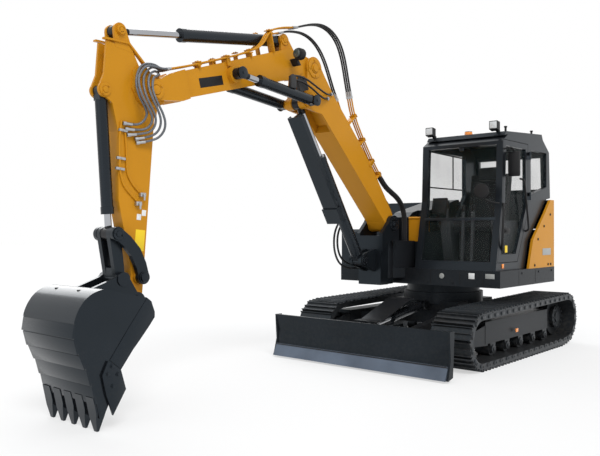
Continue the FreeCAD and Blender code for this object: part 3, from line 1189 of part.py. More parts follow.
def rocker_links():
    """Two curved links joined by the pin that the bucket cylinder works on."""
    links = member("rocker_links", "rocker", "link")
    span = reach("rocker", "link")
    low, high = "arm_tip_width / 2 + side_gap + 1", "link_half - 8"
    bow = [("-10", "-50"), (f"{span} * 0.25", "-12"), (f"{span} * 0.5", "2"), (f"{span} * 0.75", "-12"), (f"{span} + 10", "-50"),
           (f"{span} + 25", "46"), (f"{span} * 0.8", "82"), (f"{span} * 0.5", "100"), (f"{span} * 0.2", "82"), ("-25", "46")]
    links.both(links.pad, bow, low=low, high=high)
    links.both(links.disc, ("0", "0"), "54", low=low, high=high)
    links.both(links.disc, (span, "0"), "54", low=low, high=high)
    links.both(links.disc, (span, "0"), "small_pin", low="eye_width / 2 + side_gap", high="link_half")
    links.both(links.bore, ("0", "0"), "small_pin + pin_fit", low=low, high=high)
    return keep(links.body, "rocker_links")


def bucket_link():
    """Open link from the rocker's pin to the bucket."""
    link = member("bucket_link", "link", "bucket_ear")
    span = reach("link", "bucket_ear")
    low, high = "eye_width / 2 + side_gap", "arm_tip_width / 2 - 2"
    link.both(link.pad, [("0", "-50"), (f"{span} - 20", "-40"), (f"{span} - 20", "40"), ("0", "50")], low=low, high=high)
    link.both(link.disc, ("0", "0"), "52", low=low, high=high)
    link.pad([(f"{span} - 90", "-38"), (span, "-42"), (span, "42"), (f"{span} - 90", "38")], f"-({high})", high)
    link.disc((span, "0"), "46", f"-({high})", high)
    link.both(link.bore, ("0", "0"), "small_pin + pin_fit", low=low, high=high)
    return keep(link.body, "bucket_link")


# ---------------------------------------------------------------- bucket

SIDE_OUTLINE = [
    (83, 51), (42, 20), (12, -60), (12, -100), (55, -154), (145, -255), (206, -320), (308, -449), (380, -620), (440, -740),
    (482, -762), (509, -640), (552, -505), (588, -407), (642, -300), (680, -195), (684, -120), (668, -50), (630, 20), (580, 75),
    (520, 110), (450, 128), (380, 120), (230, 84),
]
HOLLOW_OUTLINE = [
    (60, -10), (-40, -60), (-60, -170), (145, -285), (308, -490), (430, -760), (452, -745), (488, -630), (530, -500), (566, -402),
    (620, -292), (656, -190), (660, -122), (646, -60), (612, 2), (566, 54), (512, 86), (450, 103), (385, 96), (236, 60), (95, 25),
]


def bucket():
    """Digging bucket: bent wrapper between two side plates, with the ears that its pins hold."""
    shell = Piece("bucket")
    side = "bucket_half_width"
    points = [(str(x), str(z)) for x, z in SIDE_OUTLINE]
    hollow = [(str(x), str(z)) for x, z in HOLLOW_OUTLINE]
    shell.pad(points, f"-{side}", side)
    shell.pocket(hollow, f"-{side} + bucket_side", f"{side} - bucket_side")
    ear_low, ear_high = "arm_tip_width / 2 + side_gap", "arm_tip_width / 2 + side_gap + 32"
    shell.bore(("0", "0"), "82", f"-({ear_low})", ear_low)
    eye = ("bucket_ear_x - bucket_pin_x", "bucket_ear_z - bucket_pin_z")
    ear = [("-60", "-25"), ("0", "-70"), ("120", "40"), ("420", "115"), ("200", "190"), (f"{eye[0]} + 20", f"{eye[1]} + 52"), (f"{eye[0]} - 48", f"{eye[1]} + 20")]
    shell.both(shell.pad, ear, low=ear_low, high=ear_high)
    shell.both(shell.disc, ("0", "0"), "72", low=ear_low, high=ear_high)
    shell.both(shell.disc, eye, "54", low=ear_low, high=f"{ear_high} + 10")
    shell.disc(("0", "0"), "small_pin + 4", f"-({ear_high} + 8)", f"{ear_high} + 8")
    place_at(shell.body, "bucket_pin_x", "boom_y", "bucket_pin_z")
    return keep(shell.body, "bucket")


def bucket_teeth():
    """Pointed teeth on the lip and the two side cutters."""
    teeth = Piece("bucket_teeth")
    profile = [("405", "-700"), ("437", "-861.5"), ("485", "-842"), ("531", "-600"), ("512", "-640"), ("484", "-764"), ("440", "-742")]
    count = int(SIZES["tooth_count"])
    for number in range(count):
        middle = f"(-tooth_row / 2 + {number} * tooth_row / {count - 1})"
        teeth.pad(profile, f"{middle} - tooth_width / 2", f"{middle} + tooth_width / 2")
    cutter = [("425", "-367"), ("318", "-446"), ("276", "-587"), ("384", "-756"), ("441", "-601"), ("473", "-464")]
    teeth.both(teeth.pad, cutter, low="bucket_half_width + 0.3", high="bucket_half_width + 20")
    place_at(teeth.body, "bucket_pin_x", "boom_y", "bucket_pin_z")
    return keep(teeth.body, "bucket_teeth")


# ---------------------------------------------------------------- assembly

# ---------------------------------------------------------------- hoses and pipes
# routes as (along, across, up) from the pin that carries them

ARM_HOSES = [
    [(1812.4, 94, 152), (1880, 94, 151), (1955, 98, 206), (2074, 94, 212), (2154, 112, 125), (2187, 130, 57),
     (2192, 143, -29), (2160, 152, -127), (2154, 145, -169), (2171, 130, -208), (2204, 112, -233),
     (2247, 94, -237), (2341, 77, -206)],
    [(1812.4, 120, 152), (1880, 120, 151), (1955, 120, 180), (2050, 120, 198), (2147, 140, 137),
     (2187, 160, 62), (2188, 178, -32), (2155, 184, -135), (2134, 178, -201), (2141, 156, -251),
     (2171, 130, -279), (2221, 103, -284), (2335, 77, -252)],
    [(1812.4, 68, 152), (1880, 68, 151), (1935, 80, 178), (1992, 95, 180), (2092, 130, 133), (2146, 162, 57),
     (2160, 186, -35), (2132, 192, -132), (2102, 182, -219), (2122, 150, -292), (2176, 110, -319),
     (2328, 77, -299)],
    [(1812.4, 44, 152), (1868, 44, 151), (1905, 54, 141), (1955, 94, 150), (2045, 138, 130), (2105, 165, 50),
     (2113, 194, -57), (2086, 202, -154), (2067, 192, -241), (2082, 155, -314), (2137, 112, -349),
     (2264, 77, -341)],
    [(1812.4, 20, 152), (1862, 20, 151), (1892, 42, 122), (1918, 102, 118), (1975, 130, 104), (2036, 160, 98),
     (2076, 169, 10), (2079, 200, -93), (2052, 210, -183), (2036, 200, -270), (2053, 160, -342),
     (2116, 112, -383), (2262, 77, -372)],
]
FRONT_PIPES = [
    [(1812, 94, 152), (1620, 94, 158), (1391, 94, 176), (1161, 94, 192), (943, 94, 214), (740, 94, 250),
     (650, 94, 300), (585, 94, 362), (510, 94, 402), (372, 94, 414), (226, 94, 408)],
    [(1812, 120, 152), (1620, 120, 158), (1391, 120, 176), (1161, 120, 192), (943, 120, 214), (740, 120, 250),
     (650, 120, 300), (585, 120, 362), (510, 120, 402), (372, 120, 414), (226, 120, 408)],
    [(1812, 68, 152), (1620, 68, 158), (1391, 68, 176), (1161, 68, 192), (943, 68, 214), (740, 68, 250),
     (650, 68, 300), (585, 68, 362), (510, 68, 402), (372, 68, 414), (226, 68, 408)],
    [(1812, 44, 152), (1654, 41, 156), (1391, -40, 174), (1161, -68, 190), (943, -68, 211), (727, -68, 232),
     (600, -68, 268), (522, -68, 329), (455, -68, 371), (336, -68, 384), (231, -68, 389)],
    [(1812, 20, 152), (1654, 17, 156), (1391, -65, 174), (1161, -94, 190), (943, -94, 211), (727, -94, 232),
     (600, -94, 268), (522, -94, 329), (455, -94, 371), (336, -94, 384), (231, -94, 389)],
]
ELBOW_HOSES = [
    [(2513.2, 94, -20.5), (2488, 94, 26), (2450, 94, 125), (2395, 94, 262), (2312, 94, 405), (2190, 94, 505),
     (2040, 94, 545), (1895, 94, 520), (1760, 94, 462), (1620, 94, 392), (1480, 94, 327)],
    [(2513.2, 120, -20.5), (2488, 120, 26), (2450, 120, 125), (2395, 120, 262), (2312, 120, 405),
     (2190, 120, 505), (2040, 120, 545), (1895, 120, 520), (1760, 120, 462), (1620, 120, 392),
     (1480, 120, 327)],
    [(2513.2, 68, -20.5), (2488, 68, 26), (2450, 68, 125), (2395, 68, 262), (2312, 68, 405), (2190, 68, 505),
     (2040, 68, 545), (1895, 68, 520), (1760, 68, 462), (1620, 68, 392), (1480, 68, 327)],
    [(2498.3, -68, -33.4), (2479, -68, 11), (2446, -68, 98), (2390, -68, 195), (2312, -68, 300),
     (2200, -68, 385), (2060, -68, 428), (1910, -68, 425), (1765, -68, 392), (1620, -68, 352),
     (1480, -68, 327)],
    [(2498.3, -94, -33.4), (2479, -94, 11), (2446, -94, 98), (2390, -94, 195), (2312, -94, 300),
     (2200, -94, 385), (2060, -94, 428), (1910, -94, 425), (1765, -94, 392), (1620, -94, 352),
     (1480, -94, 327)],
]
BASE_PIPES = [
    [(1479.6, 94, 326.8), (1370, 94, 275.9), (1240, 94, 240), (1080, 94, 222), (900, 94, 210), (750, 94, 204),
     (620, 94, 206), (520, 94, 214)],
    [(1479.6, 120, 326.8), (1370, 120, 275.9), (1240, 120, 240), (1080, 120, 222), (900, 120, 210),
     (750, 120, 204), (620, 120, 206), (520, 120, 214)],
    [(1479.6, 68, 326.8), (1370, 68, 275.9), (1240, 68, 240), (1080, 68, 222), (900, 68, 210), (750, 68, 204),
     (620, 68, 206), (520, 68, 214)],
    [(1479.6, -68, 326.9), (1370, -68, 307.3), (1240, -68, 262), (1080, -68, 228), (900, -68, 211),
     (750, -68, 204), (620, -68, 206), (520, -68, 214)],
    [(1479.6, -94, 326.9), (1370, -94, 307.3), (1240, -94, 262), (1080, -94, 228), (900, -94, 211),
     (750, -94, 204), (620, -94, 206), (520, -94, 214)],
]
ARM_PIPES = [
    [(291.2, 70.9, 244.2), (339.6, 70.9, 246.2), (410.3, 70.9, 250.6), (544.8, 70.9, 237.9), (678.8, 70.9, 221.2),
     (780.1, 70.9, 177.5), (836.8, 70.9, 106.9), (891.8, 70.9, 30.4)],
    [(373.7, 70.9, 202.8), (425.1, 70.9, 193.9), (494.1, 70.9, 180.4), (593.5, 70.9, 169.0), (684.5, 70.9, 154.4),
     (757.7, 70.9, 99.3), (828.6, 70.9, -0.8)],
]
POST_HOSES = [
    [(1081, 96, 2012), (978, 96, 1912), (850, 96, 1850), (715, 94, 1790), (612, 92, 1705), (560, 90, 1590),
     (550, 90, 1470), (556, 90, 1375), (556, 90, 1289.4)],
    [(1081, -81, 2012), (985, -80, 1919), (870, -78, 1838), (745, -76, 1765), (650, -74, 1685),
     (598, -72, 1580), (572, -70, 1470), (568, -70, 1375), (568, -70, 1289.4)],
]


def routed(label, routes, radius, first, second):
    """One node of tubes that lie in the frame between two pins."""
    place = (f"{first}_x", "boom_y", f"{first}_z", slope(first, second))
    return tubes(label, [bent_tube(route, value(radius)) for route in routes], place)



track("track_left", 1)
track("track_right", -1)
idlers()
sprockets()
rollers()
side_frames()
frame_legs()
carbody()
lashing_eyes()
blade()
blade_edge()
blade_frame()
blade_ram_cover()
upper_frame()
counterweight()
rear_hood()
engine_block()
left_cover()
right_cover()
tank_box()
engine_cover()
cab_frame()
cab_roof()
cab_door()
door_glass()
cab_glass()
seat()
consoles()
roof_lamps()
swing_post()
boom_base()
boom_front()
arm()
ram_pair("boom_cylinder", "boom_ram", "knuckle", "boom_barrel", "boom_rod", "boom_barrel_length", "480", "82")
cylinder_guard()
ram_pair("adjust_cylinders", "knuckle", "adjust", "adjust_barrel", "adjust_rod", "adjust_barrel_length", "300", "62",
         offsets=("adjust_offset", "-adjust_offset"), eye="adjust_eye")
ram_pair("arm_cylinder", "arm_ram", "arm_head", "arm_barrel", "arm_rod", "arm_barrel_length", "470", "80", base_pin="small_pin")
ram_pair("bucket_cylinder", "bucket_ram", "link", "bucket_barrel", "bucket_rod", "bucket_barrel_length", "655", "70", base_pin="small_pin")
ram_pair("blade_cylinder", "blade_ram", "blade_ear", "blade_barrel", "blade_rod", "blade_barrel_length", "260", "60", base_pin="small_pin",
         plane="0")
rocker_links()
bucket_link()
bucket()
bucket_teeth()
routed("arm_hoses", ARM_HOSES, "hose_radius", "elbow", "arm_pin")
routed("boom_front_pipes", FRONT_PIPES, "pipe_radius", "elbow", "arm_pin")
routed("elbow_hoses", ELBOW_HOSES, "hose_radius", "foot", "elbow")
routed("boom_base_pipes", BASE_PIPES, "pipe_radius", "foot", "elbow")
routed("arm_pipes", ARM_PIPES, "pipe_radius", "arm_pin", "bucket_pin")
tubes("post_hoses", [bent_tube(route, value("sheath_radius")) for route in POST_HOSES], ("0", "boom_y", "0"))

document.recompute()
broken = [thing.Name for thing in document.Objects if {"Invalid", "Error"} & set(thing.State)]
if broken:
    raise RuntimeError("these objects failed: " + ", ".join(broken))
for thing in sub_parts:
    if thing.Shape.isNull() or not thing.Shape.isValid():
        raise RuntimeError(f"{thing.Label} has no valid shape")

os.makedirs("parts", exist_ok=True)
for thing in sub_parts:
    thing.Shape.exportStep(f"parts/{thing.Label}.step")
    print(f"{thing.Label:28s} {len(thing.Shape.Solids):3d} solids {thing.Shape.Volume / 1e9:8.4f} m3")
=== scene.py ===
import json
import math

import bmesh
import bpy
from mathutils import Matrix, Vector

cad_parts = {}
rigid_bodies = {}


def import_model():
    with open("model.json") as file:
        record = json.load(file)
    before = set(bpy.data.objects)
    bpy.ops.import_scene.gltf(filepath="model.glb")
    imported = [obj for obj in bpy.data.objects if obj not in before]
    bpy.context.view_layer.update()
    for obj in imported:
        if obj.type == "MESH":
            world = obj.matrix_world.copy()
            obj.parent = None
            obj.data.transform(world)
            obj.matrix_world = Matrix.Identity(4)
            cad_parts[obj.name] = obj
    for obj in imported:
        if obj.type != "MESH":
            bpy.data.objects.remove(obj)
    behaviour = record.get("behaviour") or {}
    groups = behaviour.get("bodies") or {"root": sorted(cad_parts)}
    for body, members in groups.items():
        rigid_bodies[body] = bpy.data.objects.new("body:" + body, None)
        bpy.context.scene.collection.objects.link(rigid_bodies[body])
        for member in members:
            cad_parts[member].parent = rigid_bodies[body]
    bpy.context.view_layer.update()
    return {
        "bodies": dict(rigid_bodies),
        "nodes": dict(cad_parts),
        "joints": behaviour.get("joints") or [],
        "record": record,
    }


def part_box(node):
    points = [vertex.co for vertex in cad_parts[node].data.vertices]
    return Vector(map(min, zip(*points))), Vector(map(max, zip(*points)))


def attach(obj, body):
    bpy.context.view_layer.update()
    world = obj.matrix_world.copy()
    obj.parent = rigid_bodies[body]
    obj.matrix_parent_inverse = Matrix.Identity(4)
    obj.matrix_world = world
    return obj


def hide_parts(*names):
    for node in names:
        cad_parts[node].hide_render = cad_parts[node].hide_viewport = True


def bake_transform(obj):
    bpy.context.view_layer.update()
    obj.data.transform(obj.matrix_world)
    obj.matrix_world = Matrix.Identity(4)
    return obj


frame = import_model()
nodes = frame["nodes"]
print("frame loaded with", len(nodes), "nodes")

slewX = -1.805  # the slew axis along the row's X


def addNode(tree, kind, inputs=None, **attributes):
    # a node with its settings; an input given as a socket is linked to it
    node = tree.nodes.new(kind)
    for label, value in attributes.items():
        setattr(node, label, value)
    for label, value in (inputs or {}).items():
        if isinstance(value, bpy.types.NodeSocket):
            tree.links.new(value, node.inputs[label])
        else:
            node.inputs[label].default_value = value
    return node


def addMath(tree, operation, *values, clamp=False):
    return addNode(tree, "ShaderNodeMath", dict(enumerate(values)), operation=operation, use_clamp=clamp).outputs[0]


surfaceDefaults = {"Colour": (0.5, 0.5, 0.5, 1), "Dust Colour": (0.35, 0.3, 0.24, 1), "Dust": 0.1, "Dust Height": 1.2,
                   "Drift": 0.06, "Rough": 0.4, "Rough Spread": 0.1, "Grain": 220.0, "Relief": 0.03}
surfaceSettings = {"driftScale": 2.2, "driftRange": (0.3, 0.7), "speckScale": 34, "speckRange": (0.42, 0.68),
                   "evenDust": 0.12, "dustRough": 0.4, "bumpDistance": 0.004}


def makeSurfaceGroup(defaults, settings):
    # colour drift, specks of dust that thicken toward the ground, and a fine orange-peel bump
    group = bpy.data.node_groups.new("paintedSurface", "ShaderNodeTree")
    for label, value in defaults.items():
        kind = "NodeSocketColor" if isinstance(value, tuple) else "NodeSocketFloat"
        group.interface.new_socket(name=label, in_out="INPUT", socket_type=kind).default_value = value
    for label, kind in (("Colour", "Color"), ("Rough", "Float"), ("Normal", "Vector")):
        group.interface.new_socket(name=label, in_out="OUTPUT", socket_type="NodeSocket" + kind)
    start = addNode(group, "NodeGroupInput").outputs
    place = addNode(group, "ShaderNodeTexCoord").outputs["Object"]

    def noise(scale, detail):
        return addNode(group, "ShaderNodeTexNoise", {"Vector": place, "Scale": scale, "Detail": detail}).outputs["Fac"]

    broad, fine, specks = noise(settings["driftScale"], 5), noise(start["Grain"], 3), noise(settings["speckScale"], 6)
    # colour drift
    low, high = settings["driftRange"]
    swing = addNode(group, "ShaderNodeMapRange", {
        "Value": broad, "From Min": low, "From Max": high, "To Min": addMath(group, "SUBTRACT", 1, start["Drift"]),
        "To Max": addMath(group, "ADD", 1, start["Drift"])}).outputs["Result"]
    shade = addNode(group, "ShaderNodeVectorMath", {0: start["Colour"], "Scale": swing}, operation="SCALE")
    # dust by height and in specks
    rise = addNode(group, "ShaderNodeSeparateXYZ", {0: place}).outputs["Z"]
    near = addMath(group, "SUBTRACT", 1, addMath(group, "DIVIDE", rise, start["Dust Height"]), clamp=True)
    low, high = settings["speckRange"]
    spot = addNode(group, "ShaderNodeMapRange", {"Value": specks, "From Min": low, "From Max": high}).outputs["Result"]
    both = addMath(group, "MULTIPLY_ADD", near, spot, settings["evenDust"])
    amount = addMath(group, "MULTIPLY", both, start["Dust"], clamp=True)
    mix = addNode(group, "ShaderNodeMix", {"Factor": amount, 6: shade.outputs["Vector"], 7: start["Dust Colour"]},
                  data_type="RGBA")
    # roughness and bump
    spread = addMath(group, "MULTIPLY_ADD", specks, start["Rough Spread"], start["Rough"])
    dull = addMath(group, "MULTIPLY_ADD", amount, settings["dustRough"], spread, clamp=True)
    bump = addNode(group, "ShaderNodeBump", {"Strength": start["Relief"], "Distance": settings["bumpDistance"],
                                             "Height": fine})
    addNode(group, "NodeGroupOutput", {"Colour": mix.outputs[2], "Rough": dull, "Normal": bump.outputs["Normal"]})
    return group


surfaceGroup = makeSurfaceGroup(surfaceDefaults, surfaceSettings)


def newMaterial(name):
    material = bpy.data.materials.new(name)
    material.use_nodes = True
    tree = material.node_tree
    return material, tree, tree.nodes["Principled BSDF"]


def linkOutputs(tree, group, shader, pairs):
    for source, target in pairs:
        tree.links.new(group.outputs[source], shader.inputs[target])


def makeMaterial(name, row):
    material, tree, shader = newMaterial(name)
    group = addNode(tree, "ShaderNodeGroup", node_tree=surfaceGroup)
    for label, value in {**dict(zip(finishColumns, row)), **row[-1]}.items():
        target = group if label in surfaceDefaults else shader
        target.inputs[label].default_value = (*value, 1) if isinstance(value, tuple) else value
    linkOutputs(tree, group, shader, (("Colour", "Base Color"), ("Rough", "Roughness"), ("Normal", "Normal")))
    return material


# a row gives these, then any other input of the surface group or of the shader
finishColumns = ("Colour", "Dust", "Drift", "Rough", "Relief")


# reflection level, tint and coat; the cool default tint colours every reflection blue, a painted reflection of a blue
# sky
def sheen(level, coat, coatRough, tint=(0.62, 0.82, 1)):
    return {"Specular IOR Level": level, "Specular Tint": tint, "Coat Weight": coat, "Coat Roughness": coatRough}


finishes = {
    "amberPaint": ((0.50, 0.215, 0.009), 0.03, 0.05, 0.30, 0.04,
                   {"Rough Spread": 0.12, **sheen(0.16, 0.08, 0.12, (1, 0.85, 0.6))}),
    "chassisPaint": ((0.0075, 0.0085, 0.0105), 0.05, 0.2, 0.30, 0.05, {"Rough Spread": 0.2, **sheen(0.18, 0.06, 0.16)}),
    "postPaint": ((0.0055, 0.0068, 0.0085), 0.01, 0.2, 0.24, 0.04, {"Rough Spread": 0.16, **sheen(0.3, 0.1, 0.1)}),
    "cabPaint": ((0.0075, 0.0088, 0.011), 0.02, 0.1, 0.26, 0.03, {"Rough Spread": 0.12, **sheen(0.28, 0.12, 0.12)}),
    "bucketPaint": ((0.0055, 0.0066, 0.0085), 0.01, 0.25, 0.16, 0.04, {"Rough Spread": 0.12, **sheen(0.3, 0.12, 0.06)}),
    "bladePaint": ((0.0085, 0.0105, 0.013), 0.02, 0.25, 0.26, 0.05, {"Rough Spread": 0.16, **sheen(0.16, 0.05, 0.12)}),
    "edgeSteel": ((0.10, 0.125, 0.165), 0.02, 0.25, 0.32, 0.08,
                  {"Rough Spread": 0.2, "Grain": 500.0, "Metallic": 0.6, "Specular IOR Level": 0.3}),
    "trackSteel": ((0.010, 0.0112, 0.013), 0.06, 0.3, 0.30, 0.2,
                   {"Rough Spread": 0.25, "Grain": 160.0, **sheen(0.3, 0.12, 0.14)}),
    "castIron": ((0.022, 0.023, 0.025), 0.1, 0.15, 0.5, 0.3, {"Grain": 120.0, "Metallic": 0.3}),
    "cylinderPaint": ((0.0065, 0.0072, 0.0088), 0.01, 0.15, 0.20, 0.04,
                      {"Rough Spread": 0.14, **sheen(0.3, 0.15, 0.08)}),
    "zincPlate": ((0.42, 0.43, 0.44), 0.03, 0.08, 0.28, 0.04, {"Rough Spread": 0.12, "Grain": 600.0, "Metallic": 0.9}),
    "greyHose": ((0.115, 0.125, 0.14), 0.01, 0.2, 0.30, 0.4,
                 {"Rough Spread": 0.12, "Grain": 900.0, "Metallic": 0.3, "Specular IOR Level": 0.35}),
    "hoseRubber": ((0.010, 0.0105, 0.012), 0.02, 0.1, 0.36, 0.3, {"Grain": 700.0, "Specular IOR Level": 0.3}),
    "hoseSleeve": ((0.008, 0.008, 0.0095), 0.01, 0.2, 0.6, 0.8,
                   {"Grain": 420.0, "Specular IOR Level": 0.2, "Sheen Weight": 0.1}),
    "trimBlack": ((0.008, 0.008, 0.009), 0.01, 0.05, 0.42, 0.2, {"Grain": 900.0, "Specular IOR Level": 0.25}),
    "consoleGrey": ((0.055, 0.058, 0.063), 0.01, 0.05, 0.5, 0.25, {"Grain": 900.0, "Specular IOR Level": 0.3}),
    "seatCloth": ((0.020, 0.021, 0.023), 0.0, 0.1, 0.8, 0.6,
                  {"Grain": 900.0, "Specular IOR Level": 0.2, "Sheen Weight": 0.15}),
    "whiteLabel": ((0.72, 0.73, 0.73), 0.03, 0.02, 0.35, 0.02, {}),
    "greyLabel": ((0.30, 0.31, 0.30), 0.03, 0.05, 0.35, 0.02, {}),
    "yellowLabel": ((0.80, 0.56, 0.02), 0.02, 0.02, 0.35, 0.02, {"Specular IOR Level": 0.3}),
    "orangeLabel": ((0.75, 0.16, 0.02), 0.02, 0.02, 0.35, 0.02, {"Specular IOR Level": 0.3}),
    "amberLens": ((0.85, 0.25, 0.01), 0.0, 0.03, 0.12, 0.02, {"Coat Weight": 0.6}),
    "lampGlass": ((0.55, 0.57, 0.58), 0.0, 0.1, 0.10, 0.2, {"Grain": 300.0, "Coat Weight": 0.6}),
    "mirrorGlass": ((0.35, 0.37, 0.39), 0.0, 0.01, 0.03, 0.0, {"Metallic": 1.0}),
    "lensDark": ((0.05, 0.065, 0.06), 0.0, 0.1, 0.12, 0.02, {"Coat Weight": 0.4}),
    "screenGlass": ((0.30, 0.40, 0.48), 0.0, 0.02, 0.2, 0.0, {"Specular IOR Level": 0.3}),
}
materials = {name: makeMaterial(name, row) for name, row in finishes.items()}

glassSettings = {"Base Color": (0.022, 0.032, 0.030, 1), "Roughness": 0.03, "IOR": 1.45, "Specular IOR Level": 0.25}
hazeSettings = {"From Min": 0.35, "From Max": 0.75, "To Min": 0.10, "To Max": 0.16}


def makeGlass(settings, haze):
    material, tree, shader = newMaterial("tintedGlass")
    for label, value in settings.items():
        shader.inputs[label].default_value = value
    smear = addNode(tree, "ShaderNodeTexNoise", {"Scale": 3.0, "Detail": 6})
    cover = addNode(tree, "ShaderNodeMapRange", {"Value": smear.outputs["Fac"], **haze})
    tree.links.new(cover.outputs["Result"], shader.inputs["Alpha"])
    return material


materials["tintedGlass"] = makeGlass(glassSettings, hazeSettings)

rodSettings = {"surface": {"Dust": 0.02, "Drift": 0.05, "Grain": 900.0, "Relief": 0.01},
               "chrome": (0.40, 0.41, 0.43, 1), "paint": (0.0065, 0.0072, 0.0088, 1), "paintRough": 0.35,
               "chromeRough": 0.09, "specular": 0.25}


def makeRodMaterial(name, eye, eyeReach, settings):
    # chrome along the rod and black paint round its eye
    material, tree, shader = newMaterial(name)
    group = addNode(tree, "ShaderNodeGroup", {**settings["surface"], "Colour": settings["chrome"]},
                    node_tree=surfaceGroup)
    place = addNode(tree, "ShaderNodeTexCoord").outputs["Object"]
    flat = addNode(tree, "ShaderNodeVectorMath", {0: place, 1: (1, 0, 1)}, operation="MULTIPLY").outputs["Vector"]
    reach = addNode(tree, "ShaderNodeVectorMath", {0: flat, 1: eye}, operation="DISTANCE").outputs["Value"]
    bare = addMath(tree, "GREATER_THAN", reach, eyeReach)
    mix = addNode(tree, "ShaderNodeMix", {"Factor": bare, 6: settings["paint"], 7: group.outputs["Colour"]},
                  data_type="RGBA")
    rough = addNode(tree, "ShaderNodeMapRange", {"Value": bare, "To Min": settings["paintRough"],
                                                 "To Max": settings["chromeRough"]})
    tree.links.new(mix.outputs[2], shader.inputs["Base Color"])
    tree.links.new(bare, shader.inputs["Metallic"])
    tree.links.new(rough.outputs["Result"], shader.inputs["Roughness"])
    linkOutputs(tree, group, shader, (("Normal", "Normal"),))
    shader.inputs["Specular IOR Level"].default_value = settings["specular"]
    return material


# every pin's place in the plane of the boom, from the slew axis
pins = {"foot": (0.9, 1.48), "boomRam": (1.34, 1.085), "elbow": (2.25, 3.02), "knuckle": (2.35, 2.672),
        "adjust": (3.35, 2.772), "armPin": (4.2, 2.505), "armHead": (4.478, 2.93), "rocker": (4.303, 1.045),
        "link": (4.535, 1.38), "bucketPin": (4.355, 0.862), "bladeEye": (1.56, 0.4)}
carried = {
    "amberPaint": ["boom_base", "boom_front", "arm", "left_cover", "tank_box", "boom_base_pipes", "boom_front_pipes",
                   "arm_pipes"],
    "chassisPaint": ["side_frames", "frame_legs", "carbody", "lashing_eyes", "blade_frame", "blade_ram_cover",
                     "upper_frame", "counterweight", "rear_hood", "engine_cover"],
    "postPaint": ["swing_post", "cylinder_guard", "rocker_links", "bucket_link"],
    "bladePaint": ["blade"],
    "bucketPaint": ["bucket", "bucket_teeth"],
    "trackSteel": ["track_left", "track_right", "idlers", "sprockets", "rollers"],
    "edgeSteel": ["blade_edge"],
    "castIron": ["engine_block"],
    "cabPaint": ["cab_frame", "cab_door", "right_cover", "cab_roof"],
    "tintedGlass": ["door_glass", "cab_glass"],
    "consoleGrey": ["control_consoles"],
    "trimBlack": ["roof_lamps"],
    "seatCloth": ["operator_seat"],
    "cylinderPaint": [name for name in nodes if name.endswith("_barrel")],
    "hoseRubber": [name for name in nodes if "hoses" in name],
}
# the pin of each rod's eye, and how far from it the paint reaches
rodEyes = {"boom_cylinder_rod": ("knuckle", 0.112), "adjust_cylinders_rod": ("adjust", 0.112),
           "arm_cylinder_rod": ("armHead", 0.112), "bucket_cylinder_rod": ("link", 0.064),
           "blade_cylinder_rod": ("bladeEye", 0.112)}
for name, (pin, eyeReach) in rodEyes.items():
    x, z = pins[pin]
    materials[name] = makeRodMaterial(name + "Chrome", (slewX + x, 0, z), eyeReach, rodSettings)
    carried[name] = [name]
for finish, names in carried.items():
    for name in names:
        nodes[name].data.materials.clear()
        nodes[name].data.materials.append(materials[finish])
left = set(nodes) - {name for names in carried.values() for name in names}
print("materials set; nodes without one:", sorted(left))

boomY = -0.29  # the plane of the boom, arm and bucket


def memberFrame(first, second):
    # local X runs from the first pin to the second, local Y across, local Z up
    start, end = pins[first], pins[second]
    run = Vector((end[0] - start[0], end[1] - start[1])).normalized()
    return Matrix(((run.x, 0, -run.y, slewX + start[0]), (0, 1, 0, boomY), (run.y, 0, run.x, start[1]), (0, 0, 0, 1)))


rowFrame = Matrix.Translation((slewX, 0, 0))
planeFrame = Matrix.Translation((slewX, boomY, 0))
boomFrame = memberFrame("foot", "elbow")
frontFrame = memberFrame("elbow", "armPin")
armFrame = memberFrame("armPin", "bucketPin")
bucketFrame = Matrix.Translation((slewX + pins["bucketPin"][0], boomY, pins["bucketPin"][1]))


def roundEdges(shape, faces, width, segments=2):
    if width <= 0:
        return
    edges = {edge for face in faces for edge in face.edges
             if len(edge.link_faces) == 2 and edge.calc_face_angle(0) > 0.5}
    bmesh.ops.bevel(shape, geom=list(edges), offset=width, segments=segments, profile=0.5, affect="EDGES",
                    clamp_overlap=True)


def joinRows(shape, near, far):
    # the faces between two rows of points that each close on themselves
    count = len(near)
    return [shape.faces.new((near[i], far[i], far[(i + 1) % count], near[(i + 1) % count])) for i in range(count)]


def drawOut(shape, base, far):
    # a closed body between two outlines
    base, far = [shape.verts.new(point) for point in base], [shape.verts.new(point) for point in far]
    faces = [shape.faces.new(base), shape.faces.new(far[::-1]), *joinRows(shape, base, far)]
    bmesh.ops.recalc_face_normals(shape, faces=faces)
    return faces


def addPrism(shape, outline, low, high, bevel=0.002):
    # outline in local X and Z, drawn out along local Y
    faces = drawOut(shape, [(x, low, z) for x, z in outline], [(x, high, z) for x, z in outline])
    roundEdges(shape, faces, bevel)


def addBox(shape, low, high, bevel=0.002):
    outline = [(low[0], low[2]), (high[0], low[2]), (high[0], high[2]), (low[0], high[2])]
    addPrism(shape, outline, low[1], high[1], bevel)


def circlePoints(radius, segments, turn=0.0):
    angles = [turn + 2 * math.pi * i / segments for i in range(segments)]
    return [(radius * math.cos(angle), radius * math.sin(angle)) for angle in angles]


def addDisc(shape, centre, radius, low, high, segments=32, bevel=0.0015, axis="Y"):
    # a short cylinder, or a hexagon with six segments, along local X, Y or Z
    points = [(centre[0] + a, centre[1] + b) for a, b in circlePoints(radius, segments, 0.26)]
    spot = {"X": lambda a, b, level: (level, a, b), "Y": lambda a, b, level: (a, level, b),
            "Z": lambda a, b, level: (a, b, level)}[axis]
    faces = drawOut(shape, [spot(*point, low) for point in points], [spot(*point, high) for point in points])
    if bevel > 0:
        edges = {edge for face in faces[:2] for edge in face.edges}
        bmesh.ops.bevel(shape, geom=list(edges), offset=bevel, segments=2, profile=0.5, affect="EDGES",
                        clamp_overlap=True)


